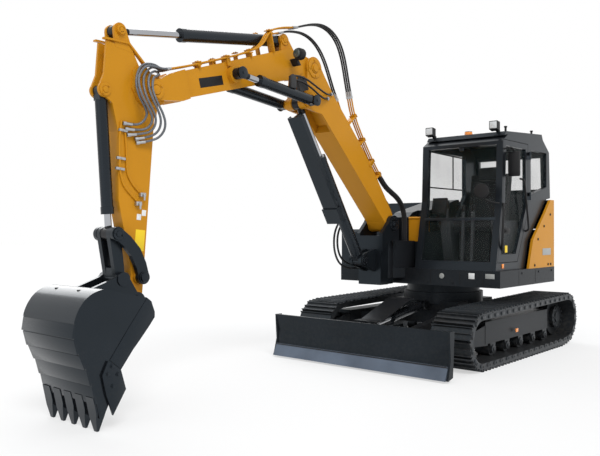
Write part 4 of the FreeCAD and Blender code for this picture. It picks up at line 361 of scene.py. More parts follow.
def addBolt(shape, centre, radius, face, reach, axis="Y"):
    # washer and hexagon head standing on a face, pointing the way that reach is signed
    top = face + math.copysign(0.003, reach)
    addDisc(shape, centre, radius * 1.35, *sorted((face, top)), 20, 0.0005, axis)
    addDisc(shape, centre, radius, *sorted((top, face + reach)), 6, 0.0012, axis)


def addRing(shape, centre, outer, inner, low, high):
    rows = []
    for radius, level in ((outer, low), (outer, high), (inner, high), (inner, low)):
        rows.append([shape.verts.new((centre[0] + a, level, centre[1] + b)) for a, b in circlePoints(radius, 48)])
    faces = [face for near, far in zip(rows, rows[1:] + rows[:1]) for face in joinRows(shape, near, far)]
    bmesh.ops.recalc_face_normals(shape, faces=faces)
    roundEdges(shape, faces, 0.002)


def addKeeper(shape, centre, face, side, radius, bolt, turn, count):
    # pin cap with a keeper plate and its bolts
    step = side * 0.009
    addRing(shape, centre, radius, radius * 0.55, *sorted((face, face + step)))
    addDisc(shape, centre, radius * 0.5, *sorted((face, face + step * 1.5)), 32, 0.003)
    for a, b in circlePoints(radius * 0.78, count, turn):
        addBolt(shape, (centre[0] + a, centre[1] + b), bolt, face + step, step)


def addLabel(shape, centre, size, face):
    # a thin plate on a face across local Y
    (x, z), (wide, high) = centre, size
    addBox(shape, (x - wide / 2, face, z - high / 2), (x + wide / 2, face + 0.0012, z + high / 2), 0.0004)


formMakers = {"box": addBox, "prism": addPrism, "disc": addDisc, "bolt": addBolt, "keeper": addKeeper,
              "label": addLabel}


def bothSides(kind, first, near, far, *rest):
    # the same form on both sides of the local middle plane
    return [(kind, *first, *sorted((side * near, side * far)), *rest) for side in (1, -1)]


def finishPiece(name, mesh, finish, body, sharpAngle):
    piece = bpy.data.objects.new(name, mesh)
    bpy.context.scene.collection.objects.link(piece)
    mesh.materials.clear()
    mesh.materials.append(materials[finish])
    mesh.shade_smooth()
    mesh.set_sharp_from_angle(angle=math.radians(sharpAngle))
    if body:
        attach(piece, body)
    return piece


def makePiece(name, shape, finish, body, frame=rowFrame):
    mesh = bpy.data.meshes.new(name)
    shape.transform(frame)
    shape.to_mesh(mesh)
    shape.free()
    return finishPiece(name, mesh, finish, body, 32)


def makeFromForms(name, finish, body, forms, frame=rowFrame, slotName=None):
    shape = bmesh.new()
    for kind, *values in forms:
        formMakers[kind](shape, *values)
    return makePiece(name, shape, finish, body, frame)


def makeTubes(name, routes, radius, finish, body, frame=rowFrame, sides=3):
    # one round tube along each route
    curve = bpy.data.curves.new(name, "CURVE")
    curve.dimensions = "3D"
    curve.bevel_depth = radius
    curve.bevel_resolution = sides
    curve.use_fill_caps = True
    curve.resolution_u = 8
    for route in routes:
        spline = curve.splines.new("NURBS")
        spline.points.add(len(route) - 1)
        for point, spot in zip(spline.points, route):
            point.co = (*(frame @ Vector(spot)), 1)
        spline.order_u = 3
        spline.use_endpoint_u = True
    holder = bpy.data.objects.new(name + "Line", curve)
    bpy.context.scene.collection.objects.link(holder)
    bpy.context.view_layer.update()
    mesh = bpy.data.meshes.new_from_object(holder.evaluated_get(bpy.context.evaluated_depsgraph_get()))
    bpy.data.objects.remove(holder)
    bpy.data.curves.remove(curve)
    mesh.name = name
    return finishPiece(name, mesh, finish, body, 40)


def addFerrule(shape, spot, towards, radius, length):
    # a fitting on a hose end: a hexagon nut and a sleeve along the hose
    middle, ahead = Vector(spot), (Vector(towards) - Vector(spot)).normalized()
    side = ahead.orthogonal().normalized()
    other = ahead.cross(side)
    for start, stop, size, count in ((0.0, 0.35, 1.55, 6), (0.35, 1.0, 1.3, 20)):
        rows = []
        for level in (start, stop):
            centre = middle + ahead * length * level
            rows.append([shape.verts.new(centre + side * a + other * b) for a, b in circlePoints(radius * size, count)])
        shape.faces.new(rows[0])
        shape.faces.new(rows[1][::-1])
        for i in range(count):
            shape.faces.new((rows[0][i], rows[1][i], rows[1][(i + 1) % count], rows[0][(i + 1) % count]))


# routes in metres as along, across and up from the pin that carries them
armHoseRoutes = [
    [(1.8124, 0.094, 0.152), (1.88, 0.094, 0.151), (1.955, 0.098, 0.206), (2.074, 0.094, 0.212),
     (2.154, 0.112, 0.125), (2.187, 0.13, 0.057), (2.192, 0.143, -0.029), (2.16, 0.152, -0.127),
     (2.154, 0.145, -0.169), (2.171, 0.13, -0.208), (2.204, 0.112, -0.233), (2.247, 0.094, -0.237),
     (2.341, 0.077, -0.206)],
    [(1.8124, 0.12, 0.152), (1.88, 0.12, 0.151), (1.955, 0.12, 0.18), (2.05, 0.12, 0.198), (2.147, 0.14, 0.137),
     (2.187, 0.16, 0.062), (2.188, 0.178, -0.032), (2.155, 0.184, -0.135), (2.134, 0.178, -0.201),
     (2.141, 0.156, -0.251), (2.171, 0.13, -0.279), (2.221, 0.103, -0.284), (2.335, 0.077, -0.252)],
    [(1.8124, 0.068, 0.152), (1.88, 0.068, 0.151), (1.935, 0.08, 0.178), (1.992, 0.095, 0.18), (2.092, 0.13, 0.133),
     (2.146, 0.162, 0.057), (2.16, 0.186, -0.035), (2.132, 0.192, -0.132), (2.102, 0.182, -0.219),
     (2.122, 0.15, -0.292), (2.176, 0.11, -0.319), (2.328, 0.077, -0.299)],
    [(1.8124, 0.044, 0.152), (1.868, 0.044, 0.151), (1.905, 0.054, 0.141), (1.955, 0.094, 0.15), (2.045, 0.138, 0.13),
     (2.105, 0.165, 0.05), (2.113, 0.194, -0.057), (2.086, 0.202, -0.154), (2.067, 0.192, -0.241),
     (2.082, 0.155, -0.314), (2.137, 0.112, -0.349), (2.264, 0.077, -0.341)],
    [(1.8124, 0.02, 0.152), (1.862, 0.02, 0.151), (1.892, 0.042, 0.122), (1.918, 0.102, 0.118), (1.975, 0.13, 0.104),
     (2.036, 0.16, 0.098), (2.076, 0.169, 0.01), (2.079, 0.2, -0.093), (2.052, 0.21, -0.183), (2.036, 0.2, -0.27),
     (2.053, 0.16, -0.342), (2.116, 0.112, -0.383), (2.262, 0.077, -0.372)],
]
# the elbow hoses share two lines seen from the side
upperLine = [(2.5132, -0.0205), (2.488, 0.026), (2.45, 0.125), (2.395, 0.262), (2.312, 0.405), (2.19, 0.505),
             (2.04, 0.545), (1.895, 0.52), (1.76, 0.462), (1.62, 0.392), (1.48, 0.327)]
lowerLine = [(2.4983, -0.0334), (2.479, 0.011), (2.446, 0.098), (2.39, 0.195), (2.312, 0.3), (2.2, 0.385),
             (2.06, 0.428), (1.91, 0.425), (1.765, 0.392), (1.62, 0.352), (1.48, 0.327)]
elbowHoseRoutes = [[(x, across, z) for x, z in line] for line, places in ((upperLine, (0.094, 0.12, 0.068)),
                                                                         (lowerLine, (-0.068, -0.094)))
                   for across in places]
postHoseRoutes = [
    [(1.081, 0.096, 2.012), (0.978, 0.096, 1.912), (0.85, 0.096, 1.85), (0.715, 0.094, 1.79), (0.612, 0.092, 1.705),
     (0.56, 0.09, 1.59), (0.55, 0.09, 1.47), (0.556, 0.09, 1.375), (0.556, 0.09, 1.2894)],
    [(1.081, -0.081, 2.012), (0.985, -0.08, 1.919), (0.87, -0.078, 1.838), (0.745, -0.076, 1.765),
     (0.65, -0.074, 1.685), (0.598, -0.072, 1.58), (0.572, -0.07, 1.47), (0.568, -0.07, 1.375), (0.568, -0.07, 1.2894)],
]


# the tubes' radii, the fittings' length and the share of it at the start of the arm hoses
hoseSettings = {"hoseRadius": 0.0095, "sheathRadius": 0.030, "ferruleLength": 0.075, "shortShare": 0.55}


def buildHoses(settings):
    radius = settings["hoseRadius"]
    arm = makeTubes("armHoses", armHoseRoutes, radius, "greyHose", None, frontFrame, 4)
    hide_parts("arm_hoses")
    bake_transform(arm)
    elbow = makeTubes("elbowHoses", elbowHoseRoutes, radius, "hoseRubber", None, boomFrame, 4)
    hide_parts("elbow_hoses")
    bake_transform(elbow)
    post = makeTubes("postHoses", postHoseRoutes, settings["sheathRadius"], "hoseSleeve", None, planeFrame, 5)
    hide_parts("post_hoses")
    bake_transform(post)
    # fittings where hoses meet pipes
    for name, routes, frame, owners, share in (
            ("armFittings", armHoseRoutes, frontFrame, ("boom_front", "arm"), settings["shortShare"]),
            ("elbowFittings", elbowHoseRoutes, boomFrame, ("boom_front", "boom_base"), 1)):
        for label, owner, first, second, size in (("Start", owners[0], 0, 1, share), ("End", owners[1], -1, -2, 1)):
            shape = bmesh.new()
            for route in routes:
                addFerrule(shape, route[first], route[second], radius, settings["ferruleLength"] * size)
            makePiece(name + label, shape, "zincPlate", owner, frame)


# each clamp as its place along, its pipes' middle and the face it stands on
clampSettings = {
    "plate": 0.010, "pipe": 0.0085, "bolt": 0.007, "near": (0.056, 0.132), "far": (-0.106, -0.056),
    "baseClamps": ((0.745, 0.204, 0.138), (1.02, 0.2185, 0.128), (1.30, 0.258, 0.110), (0.56, 0.2105, 0.134)),
    "frontClamps": ((1.16, 0.1925, 0.158), (1.50, 0.168, 0.135), (0.86, 0.226, 0.178), (0.55, 0.385, 0.20)),
    "farReach": {"baseClamps": 2.0, "frontClamps": 1.2},
    "armPipes": (0.36, 0.575, 0.655), "valves": ((4.322, 1.614), (4.283, 1.684))}


def buildClamps(settings):
    plate, pipe = settings["plate"], settings["pipe"]
    for name, body, frame in (("baseClamps", "boom_base", boomFrame), ("frontClamps", "boom_front", frontFrame)):
        forms = []
        for along, middle, face in settings[name]:
            for low, high in (settings["near"], settings["far"]):
                if low < 0 and along > settings["farReach"][name]:
                    continue
                for base, top, half, bevel in ((middle + pipe, middle + pipe + plate, 0.02, 0.002),
                                               (middle - pipe - plate, middle - pipe, 0.02, 0.002),
                                               (face - 0.01, middle - pipe - plate, 0.005, 0.001)):
                    forms.append(("box", (along - half, low, base), (along + half, high, top), bevel))
                for across in ((low + high) / 2 - 0.013, (low + high) / 2 + 0.013):
                    forms.append(("bolt", (along, across), settings["bolt"], middle + pipe + plate, 0.007, "Z"))
        makeFromForms(name, "amberPaint", body, forms, frame, "body_yellow")
    forms = []
    for along in settings["armPipes"]:
        forms += [("box", (along - 0.010, 0.0623, 0.185), (along + 0.010, 0.0805, 0.262), 0.002),
                  ("bolt", (along, 0.222), settings["bolt"], 0.0805, 0.006)]
    makeFromForms("armPipeClamps", "zincPlate", "arm", forms, armFrame)
    forms = []
    for x, z in settings["valves"]:
        forms += [("box", (x - 0.026, -0.2272, z - 0.016), (x + 0.026, -0.196, z + 0.016), 0.004),
                  ("disc", (x, z), 0.011, -0.198, -0.184, 6, 0.002),
                  ("box", (x - 0.008, -0.186, z - 0.045), (x + 0.008, -0.181, z + 0.010), 0.002)]
    makeFromForms("armValves", "zincPlate", "arm", forms)


# each cap as its centre, face, radius, bolt radius, turn and bolt count
bossSettings = {
    "elbowCaps": ("amberPaint", "boom_base", boomFrame, "body_yellow", (((2.048, 0.0), 0.125, 0.098, 0.010, 0.6, 4),)),
    "forkCaps": ("amberPaint", "boom_front", frontFrame, "body_yellow",
                 (((2.017, 0.0), 0.1412, 0.074, 0.010, 0.6, 3), ((0.313, 0.302), 0.0682, 0.05, 0.007, 0.6, 2))),
    "armCaps": ("amberPaint", "arm", armFrame, "body_yellow",
                (((-0.397, 0.3167), 0.0767, 0.036, 0.007, 0.6, 2), ((0.085, 0.403), 0.0632, 0.048, 0.007, 0.6, 2))),
    "postCaps": ("cylinderPaint", "swing_post", planeFrame, "chassis_grey",
                 ((pins["foot"], 0.176, 0.082, 0.010, 0.9, 3), (pins["boomRam"], 0.082, 0.058, 0.010, 0.9, 3))),
    "bucketCaps": ("bucketPaint", "bucket", bucketFrame, "chassis_grey", (((0.0, 0.0), 0.127, 0.05, 0.010, 0.3, 3),)),
}
pinCapSettings = {"linkFace": 0.1262, "linkRadius": 0.045, "linkBolt": 0.008, "radius": 0.054, "bolt": 0.010,
                  "faces": (0.2365, 0.249)}


def buildBosses(bosses, settings):
    for name, (finish, body, frame, slotName, caps) in bosses.items():
        forms = [("keeper", centre, side * face, side, *rest) for centre, face, *rest in caps for side in (1, -1)]
        makeFromForms(name, finish, body, forms, frame, slotName)
    forms = []
    for pin in ("rocker", "link"):
        for side, disc in zip((1, -1), bothSides("disc", (pins[pin], 0.036), 0.1222, 0.1302)):
            forms += [("keeper", pins[pin], side * settings["linkFace"], side, settings["linkRadius"],
                       settings["linkBolt"], 0.3, 2), disc]
    forms += bothSides("disc", (pins["rocker"], 0.038), 0.134, 0.152, 32, 0.004)
    makeFromForms("rockerCaps", "bucketPaint", "rocker_links", forms, planeFrame, "chassis_grey")
    # round black caps on the pins of the adjusting cylinders
    top = settings["faces"][1]
    for name, pin, body in (("knuckleCaps", "knuckle", "boom_base"), ("adjustCaps", "adjust", "boom_front")):
        discs = bothSides("disc", (pins[pin], settings["radius"]), *settings["faces"], 40, 0.003)
        bolts = [("bolt", pins[pin], settings["bolt"], side * top, side * 0.006) for side in (1, -1)]
        forms = [form for pair in zip(discs, bolts) for form in pair]
        makeFromForms(name, "cylinderPaint", body, forms, planeFrame, "cylinder_black")


bucketSettings = {
    "half": 0.345, "topSkin": 0.004, "lap": 0.002, "shingle": 0.011, "sunk": 0.006, "cutterBolt": 0.013,
    "toothWidth": 0.104, "toothRow": 0.581, "toothCount": 5,
    "top": [(0.380, 0.120), (0.450, 0.1285), (0.520, 0.112), (0.580, 0.078), (0.630, 0.024), (0.664, -0.040),
            (0.6765, -0.085)],
    "plates": (((0.678, -0.090), (0.6835, -0.186)), ((0.682, -0.194), (0.6455, -0.297)),
               ((0.6415, -0.305), (0.590, -0.404)), ((0.586, -0.412), (0.5465, -0.522)),
               ((0.5435, -0.530), (0.505, -0.655))),
    "mouth": [(0.083, 0.047), (0.044, 0.018), (0.0145, -0.060), (0.0145, -0.099), (0.057, -0.152), (0.147, -0.253),
              (0.208, -0.318), (0.308, -0.443), (0.403, -0.368), (0.250, -0.164)],
    "cutter": [(0.425, -0.367), (0.318, -0.446), (0.276, -0.587), (0.384, -0.756), (0.441, -0.601), (0.473, -0.464)],
    "cutterSpots": ((0.395, -0.405), (0.428, -0.458), (0.345, -0.470), (0.388, -0.548)),
    # a tooth's outer edge, inner edge and share of the full width, from its root to its tip
    "tooth": (((0.531, -0.612), (0.514, -0.618), 0.94), ((0.517, -0.668), (0.486, -0.676), 1.0),
              ((0.505, -0.722), (0.424, -0.705), 1.0), ((0.500, -0.765), (0.431, -0.748), 0.84),
              ((0.479, -0.8615), (0.461, -0.8605), 0.36)),
}


def smoothLine(points, steps):
    # points of a smooth line through the given ones
    ends = [Vector(point) for point in (points[0], *points, points[-1])]
    line = []
    for p, q, r, t in zip(ends, ends[1:], ends[2:], ends[3:]):
        for step in range(steps):
            u = step / steps
            line.append(0.5 * (2 * q + (r - p) * u + (2 * p - 5 * q + 4 * r - t) * u * u
                               + (3 * q - p - 3 * r + t) * u ** 3))
    return [*line, ends[-1]]


def leftOf(run):
    return Vector((-run.y, run.x)).normalized()


def buildBucketTrim(settings):
    half, sunk = settings["half"], settings["sunk"]
    wide = (-half - 0.0005, half + 0.0005)
    # rolled top plate, then the lower plates that lap over each other down the back
    line = smoothLine(settings["top"], 5)
    outward = [leftOf(b - a) for a, b in zip([line[0], *line], [*line[1:], line[-1]])]
    skin = [point + out * settings["topSkin"] for point, out in zip(line, outward)]
    forms = [("prism", skin + [point - out * sunk for point, out in zip(line, outward)][::-1], *wide, 0)]
    for first, second in settings["plates"]:
        first, second = Vector(first), Vector(second)
        out = leftOf(second - first)
        forms.append(("prism", [first + out * settings["lap"], second + out * settings["shingle"], second - out * sunk,
                                first - out * sunk], *wide, 0.002))
    # doubler along the mouth of each side plate
    forms += bothSides("prism", (settings["mouth"],), half - 0.002, half + 0.005, 0.0015)
    makeFromForms("bucketPlates", "bucketPaint", "bucket", forms, bucketFrame, "chassis_grey")
    # black discs on the top plate where its two lift holes are, painted as the shade inside the holes
    forms = [("disc", (0.512, across), 0.014, 0.100, 0.1225, 20, 0.001, "Z") for across in (-0.17, 0.13)]
    makeFromForms("bucketHoleShade", "trimBlack", "bucket", forms, bucketFrame)
    # pointed teeth on their adapters, and the bolted side cutters
    teeth = bmesh.new()
    count = settings["toothCount"]
    for i in range(count):
        middle = settings["toothRow"] * (i / (count - 1) - 0.5)
        rings = []
        for (outX, outZ), (inX, inZ), width in settings["tooth"]:
            w = settings["toothWidth"] * width / 2
            rings.append([teeth.verts.new(point) for point in ((outX, middle - w, outZ), (outX, middle + w, outZ),
                                                               (inX, middle + w, inZ), (inX, middle - w, inZ))])
        faces = [teeth.faces.new(rings[0]), teeth.faces.new(rings[-1][::-1])]
        faces += [face for near, far in zip(rings, rings[1:]) for face in joinRows(teeth, near, far)]
        bmesh.ops.recalc_face_normals(teeth, faces=faces)
        roundEdges(teeth, faces, 0.002, 1)
        addDisc(teeth, (0.470, -0.722), 0.010, middle - 0.056, middle + 0.056, 16, 0.002)
    for side in (1, -1):
        addPrism(teeth, settings["cutter"], *sorted((side * (half + 0.0003), side * (half + 0.020))), 0.003)
        for spot in settings["cutterSpots"]:
            addBolt(teeth, spot, settings["cutterBolt"], side * (half + 0.020), side * 0.012)
    piece = makePiece("bucketTeethAndCutters", teeth, "bucketPaint", "bucket", bucketFrame)
    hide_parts("bucket_teeth")


# the blade's foot, the run of its face, the seam's place up that run, its height and its half width
bladeSettings = {"foot": (1.875, 0.02), "run": (-0.0565, 0.128), "rise": 0.126, "seam": 0.010, "halfWidth": 1.076}


def buildBladeTrim(settings):
    along = Vector(settings["run"]).normalized()
    normal = Vector((along.y, -along.x))
    x, z = settings["foot"]
    face = Matrix(((normal.x, 0, along.x, slewX + x), (0, 1, 0, 0), (normal.y, 0, along.y, z), (0, 0, 0, 1)))
    half, rise = settings["halfWidth"], settings["rise"]
    forms = [("box", (0.0005, -half, rise), (0.006, half, rise + settings["seam"]), 0.001)]
    makeFromForms("bladeSeam", "trimBlack", "blade", forms, face, "chassis_grey")


cabSettings = {"railRadius": 0.014, "barRadius": 0.008, "grabRadius": 0.011, "lamps": (0.092, 0.885), "lampFoot": 2.505,
               "studs": ((0.27, 0.93, 2.500), (-0.50, 0.90, 2.535)), "levers": (0.185, 0.825), "pedals": (0.445, 0.565)}


def buildCabTrim(settings):
    foot = settings["lampFoot"]
    forms = [("box", (0.4805, y - 0.041, foot + 0.014), (0.485, y + 0.041, foot + 0.087), 0.002)
             for y in settings["lamps"]]
    makeFromForms("workLampGlass", "lampGlass", "upper", forms)
    makeFromForms("beaconDome", "amberLens", "upper", [("disc", (-0.15, 0.262), 0.0475, 2.538, 2.6075, 32, 0.014, "Z")])
    forms = [("disc", (x, y), radius, base + low, base + high, 16, 0.003, "Z") for x, y, base in settings["studs"]
             for radius, low, high in ((0.012, 0, 0.05), (0.018, 0.045, 0.062))]
    makeFromForms("roofStuds", "trimBlack", "upper", forms)
    # bar between the two panes of the windscreen, its catch, and the guard bars of the right window
    makeFromForms("windscreenBar", "cabPaint", "upper", [
        ("prism", [(0.531, 1.520), (0.558, 1.520), (0.552, 1.552), (0.525, 1.552)], 0.07, 0.942, 0.003),
        ("prism", [(0.466, 2.300), (0.474, 2.300), (0.472, 2.350), (0.464, 2.350)], 0.47, 0.53, 0.002)],
        rowFrame, "cab_grey")
    makeTubes("windowGuard", [
        [(0.40, 0.045, 2.335), (-0.02, 0.045, 2.325), (-0.44, 0.045, 2.315)],
        [(0.41, 0.045, 1.915), (-0.02, 0.045, 1.915), (-0.44, 0.045, 1.915)],
        [(-0.165, 0.045, 2.325), (-0.165, 0.045, 2.12), (-0.165, 0.045, 1.915)]],
        settings["barRadius"], "trimBlack", "upper")
    # levers, pedals, monitor and head rest seen through the glass
    forms = []
    for y in settings["levers"]:
        forms += [("disc", (0.23, y), 0.026, 1.665, 1.76, 20, 0.010, "Z"),
                  ("disc", (0.23, y), 0.040, 1.515, 1.560, 20, 0.012, "Z")]
    for y in settings["pedals"]:
        forms += [("disc", (0.32, y), 0.022, 1.62, 1.70, 20, 0.008, "Z"),
                  ("box", (0.30, y - 0.05, 1.022), (0.42, y + 0.05, 1.036), 0.004)]
    forms += [("prism", [(0.385, 1.600), (0.415, 1.610), (0.375, 1.790), (0.345, 1.780)], 0.075, 0.265, 0.008),
              ("prism", [(0.36, 1.44), (0.39, 1.44), (0.395, 1.64), (0.365, 1.64)], 0.145, 0.175, 0.004)]
    makeFromForms("cabControls", "trimBlack", "upper", forms, rowFrame, "trim_black")
    screen = [(0.381, 1.625), (0.3845, 1.626), (0.3515, 1.7745), (0.348, 1.7735)]
    makeFromForms("monitorScreen", "screenGlass", "upper", [("prism", screen, 0.090, 0.250, 0)])
    makeFromForms("headRest", "seatCloth", "upper", [("box", (-0.235, 0.385, 2.00), (-0.145, 0.625, 2.16), 0.035)],
                  rowFrame, "seat_cloth")
    # handrail beside the door, door handle and its recess, and the long grab rail
    makeTubes("cabHandrail", [[(0.50, 0.985, 1.18), (0.545, 1.02, 1.22), (0.56, 1.03, 1.40), (0.53, 1.03, 1.62),
                               (0.49, 1.01, 1.70)]], settings["railRadius"], "trimBlack", "cab_door", rowFrame, 4)
    makeFromForms("doorHandle", "trimBlack", "cab_door", [
        ("box", (0.34, 0.998, 1.375), (0.47, 1.010, 1.435), 0.004),
        ("box", (0.36, 1.006, 1.392), (0.455, 1.022, 1.412), 0.004)])
    makeTubes("doorGrabRail", [[(0.02, 0.985, 1.99), (0.02, 1.035, 1.985), (0.018, 1.04, 1.93), (-0.035, 1.04, 1.69),
                                (-0.088, 1.04, 1.46), (-0.092, 1.035, 1.405), (-0.092, 0.985, 1.40)]],
              settings["grabRadius"], "trimBlack", "cab_door", rowFrame, 4)


mirrorSettings = {"round": (0.842, 1.83), "roundRadius": 0.082, "roundGlass": 0.074, "stay": 0.009}


def buildMirrors(settings):
    forms = [("disc", settings["round"], settings["roundRadius"], 0.655, 0.685, 40, 0.01, "X")]
    makeFromForms("roundMirror", "trimBlack", "upper", forms)
    makeTubes("mirrorStay", [[(0.56, 0.99, 1.70), (0.62, 0.97, 1.705), (0.655, 0.90, 1.72), (0.66, 0.85, 1.76)]],
              settings["stay"], "trimBlack", "upper")
    # tall mirror on its arm beside the door's front post
    tall = [(0.34, 1.995), (0.375, 1.995), (0.385, 2.05), (0.385, 2.22), (0.375, 2.265), (0.34, 2.265)]
    makeFromForms("tallMirror", "trimBlack", "upper", [("prism", tall, 1.005, 1.135, 0.012)])
    makeTubes("tallMirrorArm", [[(0.46, 0.985, 2.285), (0.45, 1.05, 2.30), (0.40, 1.07, 2.30), (0.36, 1.07, 2.27),
                                 (0.36, 1.07, 2.21)]], settings["stay"], "trimBlack", "upper")
    makeFromForms("mirrorGlasses", "mirrorGlass", "upper", [
        ("box", (0.3365, 1.015, 2.01), (0.3405, 1.125, 2.25), 0.001),
        ("disc", settings["round"], settings["roundGlass"], 0.650, 0.6555, 40, 0.001, "X")])


# blank plates and reflectors: finish, body, forms and, where it is not the row's, the frame
labelSettings = {
    "armLabel": ("yellowLabel", "arm", [("label", (1.18, -0.014), (0.165, 0.088), 0.0626)], armFrame),
    "armTags": ("whiteLabel", "arm", [("label", (0.9995, 0.011), (0.046, 0.040), 0.0626),
                                      ("label", (0.963, -0.033), (0.046, 0.040), 0.0626)], armFrame),
    "boomPlate": ("trimBlack", "boom_front", [("label", (1.393, 0.008), (0.27, 0.080), 0.1102)], frontFrame),
    "whitePlates": ("whiteLabel", "upper", [("box", (0.6725, 0.690, 0.885), (0.6745, 0.760, 0.948), 0.0005),
                                            ("box", (0.6105, -1.020, 0.868), (0.6125, -0.885, 0.925), 0.0005)]),
    "greyPlates": ("greyLabel", "upper", [("box", (0.6725, 0.885, 0.895), (0.6745, 0.990, 0.946), 0.0005),
                                          ("disc", (0.364, 0.905), 0.030, 0.6725, 0.680, 32, 0.002, "X"),
                                          ("box", (-0.70, 1.0505, 1.120), (-0.455, 1.0525, 1.200), 0.0005)]),
    "yellowSticker": ("yellowLabel", "cab_door", [("box", (0.385, 1.0005, 1.170), (0.445, 1.0020, 1.245), 0.0004)]),
    "orangeMark": ("orangeLabel", "upper", [("box", (0.6105, -1.020, 0.927), (0.6125, -0.885, 0.962), 0.0005)]),
    "cornerReflector": ("amberLens", "upper", [("disc", (0.500, 1.026), 0.022, 1.0005, 1.008, 24, 0.003),
                                               ("box", (0.475, 1.0005, 1.000), (0.525, 1.006, 1.050), 0.003)]),
    "frameReflector": ("amberLens", "undercarriage", [("box", (0.110, 0.9955, 0.283), (0.170, 1.0035, 0.323), 0.002)]),
}


def buildLabels(labels):
    for name, values in labels.items():
        makeFromForms(name, *values)


coverSettings = {"bolt": 0.012, "ventCount": 9, "ventPitch": 0.036, "seam": 0.006, "sideSeams": (0.20, -0.25),
                 "frontSeams": (0.22, 0.58, 0.85), "sideBolts": (0.12, -0.34, -0.72), "frontBolts": (0.18, 0.50, 0.94),
                 "coverBolts": ((-0.502, 1.461), (-0.325, 1.309), (-0.620, 1.010), (-0.700, 1.010), (-0.230, 1.010),
                                (-0.690, 1.600))}


def buildCoverTrim(settings):
    # bolts and panel lines of the side cover, and vents on the engine's side
    seam = settings["seam"]
    forms = [("bolt", spot, settings["bolt"], 1.0502, 0.008) for spot in settings["coverBolts"]]
    makeFromForms("coverBolts", "trimBlack", "upper", forms)
    forms = []
    for i in range(settings["ventCount"]):
        z = 1.30 + settings["ventPitch"] * i
        outline = [(-0.76, z), (-0.50, z), (-0.50, z + 0.014), (-0.76, z + 0.014)]
        forms.append(("prism", outline, -1.055, -1.049, 0.002))
    makeFromForms("engineVents", "trimBlack", "upper", forms)
    forms = [("box", (x, 1.0518, 0.812), (x + seam, 1.0535, 0.962), 0.0005) for x in settings["sideSeams"]]
    forms += [("box", (0.6718, y, 0.812), (0.6735, y + seam, 0.962), 0.0005) for y in settings["frontSeams"]]
    makeFromForms("deckSeams", "trimBlack", "upper", forms)
    forms = [("bolt", (x, 0.935), 0.010, 1.0522, 0.007) for x in settings["sideBolts"]]
    forms += [("bolt", (y, 0.83), 0.009, 0.6722, 0.007, "X") for y in settings["frontBolts"]]
    makeFromForms("deckBolts", "chassisPaint", "upper", forms, rowFrame, "chassis_grey")


blockSettings = {
    "hose": 0.0115, "feed": 0.0095, "lampCentre": (-0.05, 3.075), "ports": ((1.985, 2.800), (2.045, 2.745)),
    "block": [(2.395, 2.775), (2.520, 2.735), (2.555, 2.835), (2.430, 2.872)], "valves": (0.25, 0.5, 0.75),
    "feeds": [[(2.700, -0.065, 2.856), (2.608, -0.078, 2.876), (2.459, -0.090, 2.869), (2.330, -0.085, 2.821),
               (2.168, -0.100, 2.777), (2.060, -0.130, 2.775), (1.985, -0.160, 2.800)],
              [(2.668, -0.065, 2.826), (2.542, -0.080, 2.834), (2.405, -0.085, 2.799), (2.250, -0.090, 2.734),
               (2.130, -0.125, 2.725), (2.045, -0.160, 2.745)]],
    "loops": [[(1.475, -0.395, 1.56), (1.515, -0.43, 1.50), (1.56, -0.45, 1.40), (1.58, -0.45, 1.29),
               (1.565, -0.45, 1.17), (1.50, -0.45, 1.06), (1.40, -0.44, 1.00), (1.27, -0.42, 0.985),
               (1.16, -0.40, 0.99)],
              [(1.455, -0.395, 1.53), (1.49, -0.42, 1.47), (1.53, -0.43, 1.38), (1.545, -0.43, 1.29),
               (1.53, -0.43, 1.19), (1.475, -0.43, 1.10), (1.385, -0.42, 1.045), (1.27, -0.41, 1.03),
               (1.16, -0.40, 1.035)]]}


def buildBoomExtras(settings):
    # valve block on the near adjusting cylinder, and the outlet its two feeds start from
    forms = [("prism", settings["block"], -0.148, -0.112, 0.004)]
    rear, front = Vector(settings["block"][3]), Vector(settings["block"][2])
    for share in settings["valves"]:
        x, z = rear.lerp(front, share)
        forms.append(("disc", (x, -0.130), 0.013, z - 0.01, z + 0.035, 6, 0.002, "Z"))
    outlet = [(2.650, 2.740), (2.725, 2.740), (2.725, 2.850), (2.695, 2.872), (2.650, 2.845)]
    forms.append(("prism", outlet, -0.083, -0.047, 0.004))
    makeFromForms("adjustValve", "castIron", "adjust_cylinders_barrel", forms, rowFrame, "machinery")
    forms = [("disc", centre, 0.019, -0.182, -0.150, 6, 0.002) for centre in settings["ports"]]
    makeFromForms("feedPorts", "zincPlate", "boom_base", forms, rowFrame, "machinery")
    feeds = makeTubes("adjustFeeds", settings["feeds"], settings["feed"], "hoseRubber", None, rowFrame, 4)
    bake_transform(feeds)
    # work lamp beside the elbow
    centre = settings["lampCentre"]
    bracket = [(2.54, 2.985), (2.575, 2.975), (2.625, 3.035), (2.59, 3.050)]
    makeFromForms("boomLamp", "trimBlack", "boom_base", [
        ("disc", centre, 0.055, 2.565, 2.640, 32, 0.014, "X"), ("disc", centre, 0.046, 2.638, 2.650, 32, 0.003, "X"),
        ("prism", bracket, -0.162, -0.085, 0.003)])
    makeFromForms("boomLampGlass", "lensDark", "boom_base", [("disc", centre, 0.040, 2.648, 2.654, 32, 0.002, "X")])
    # feed loops from the boom cylinder down to the post
    loops = makeTubes("cylinderLoops", settings["loops"], settings["hose"], "hoseRubber", None, rowFrame, 4)
    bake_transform(loops)


# front and rear give the centre and the outer reach of the belt's two bends
trackSettings = {"rollers": 5, "first": -0.72, "pitch": 0.345, "hub": 0.048, "motorBolts": 12, "boltCircle": 0.122,
                 "links": 42, "depth": 0.057, "front": (1.142, 0.300, 0.300), "rear": (-1.132, 0.333, 0.309),
                 "face": 1.0975,
                 "link": ((-0.040, -0.012), (-0.028, -0.022), (0.018, -0.022), (0.040, -0.010), (0.040, 0.010),
                          (0.026, 0.018), (-0.030, 0.018), (-0.040, 0.010))}


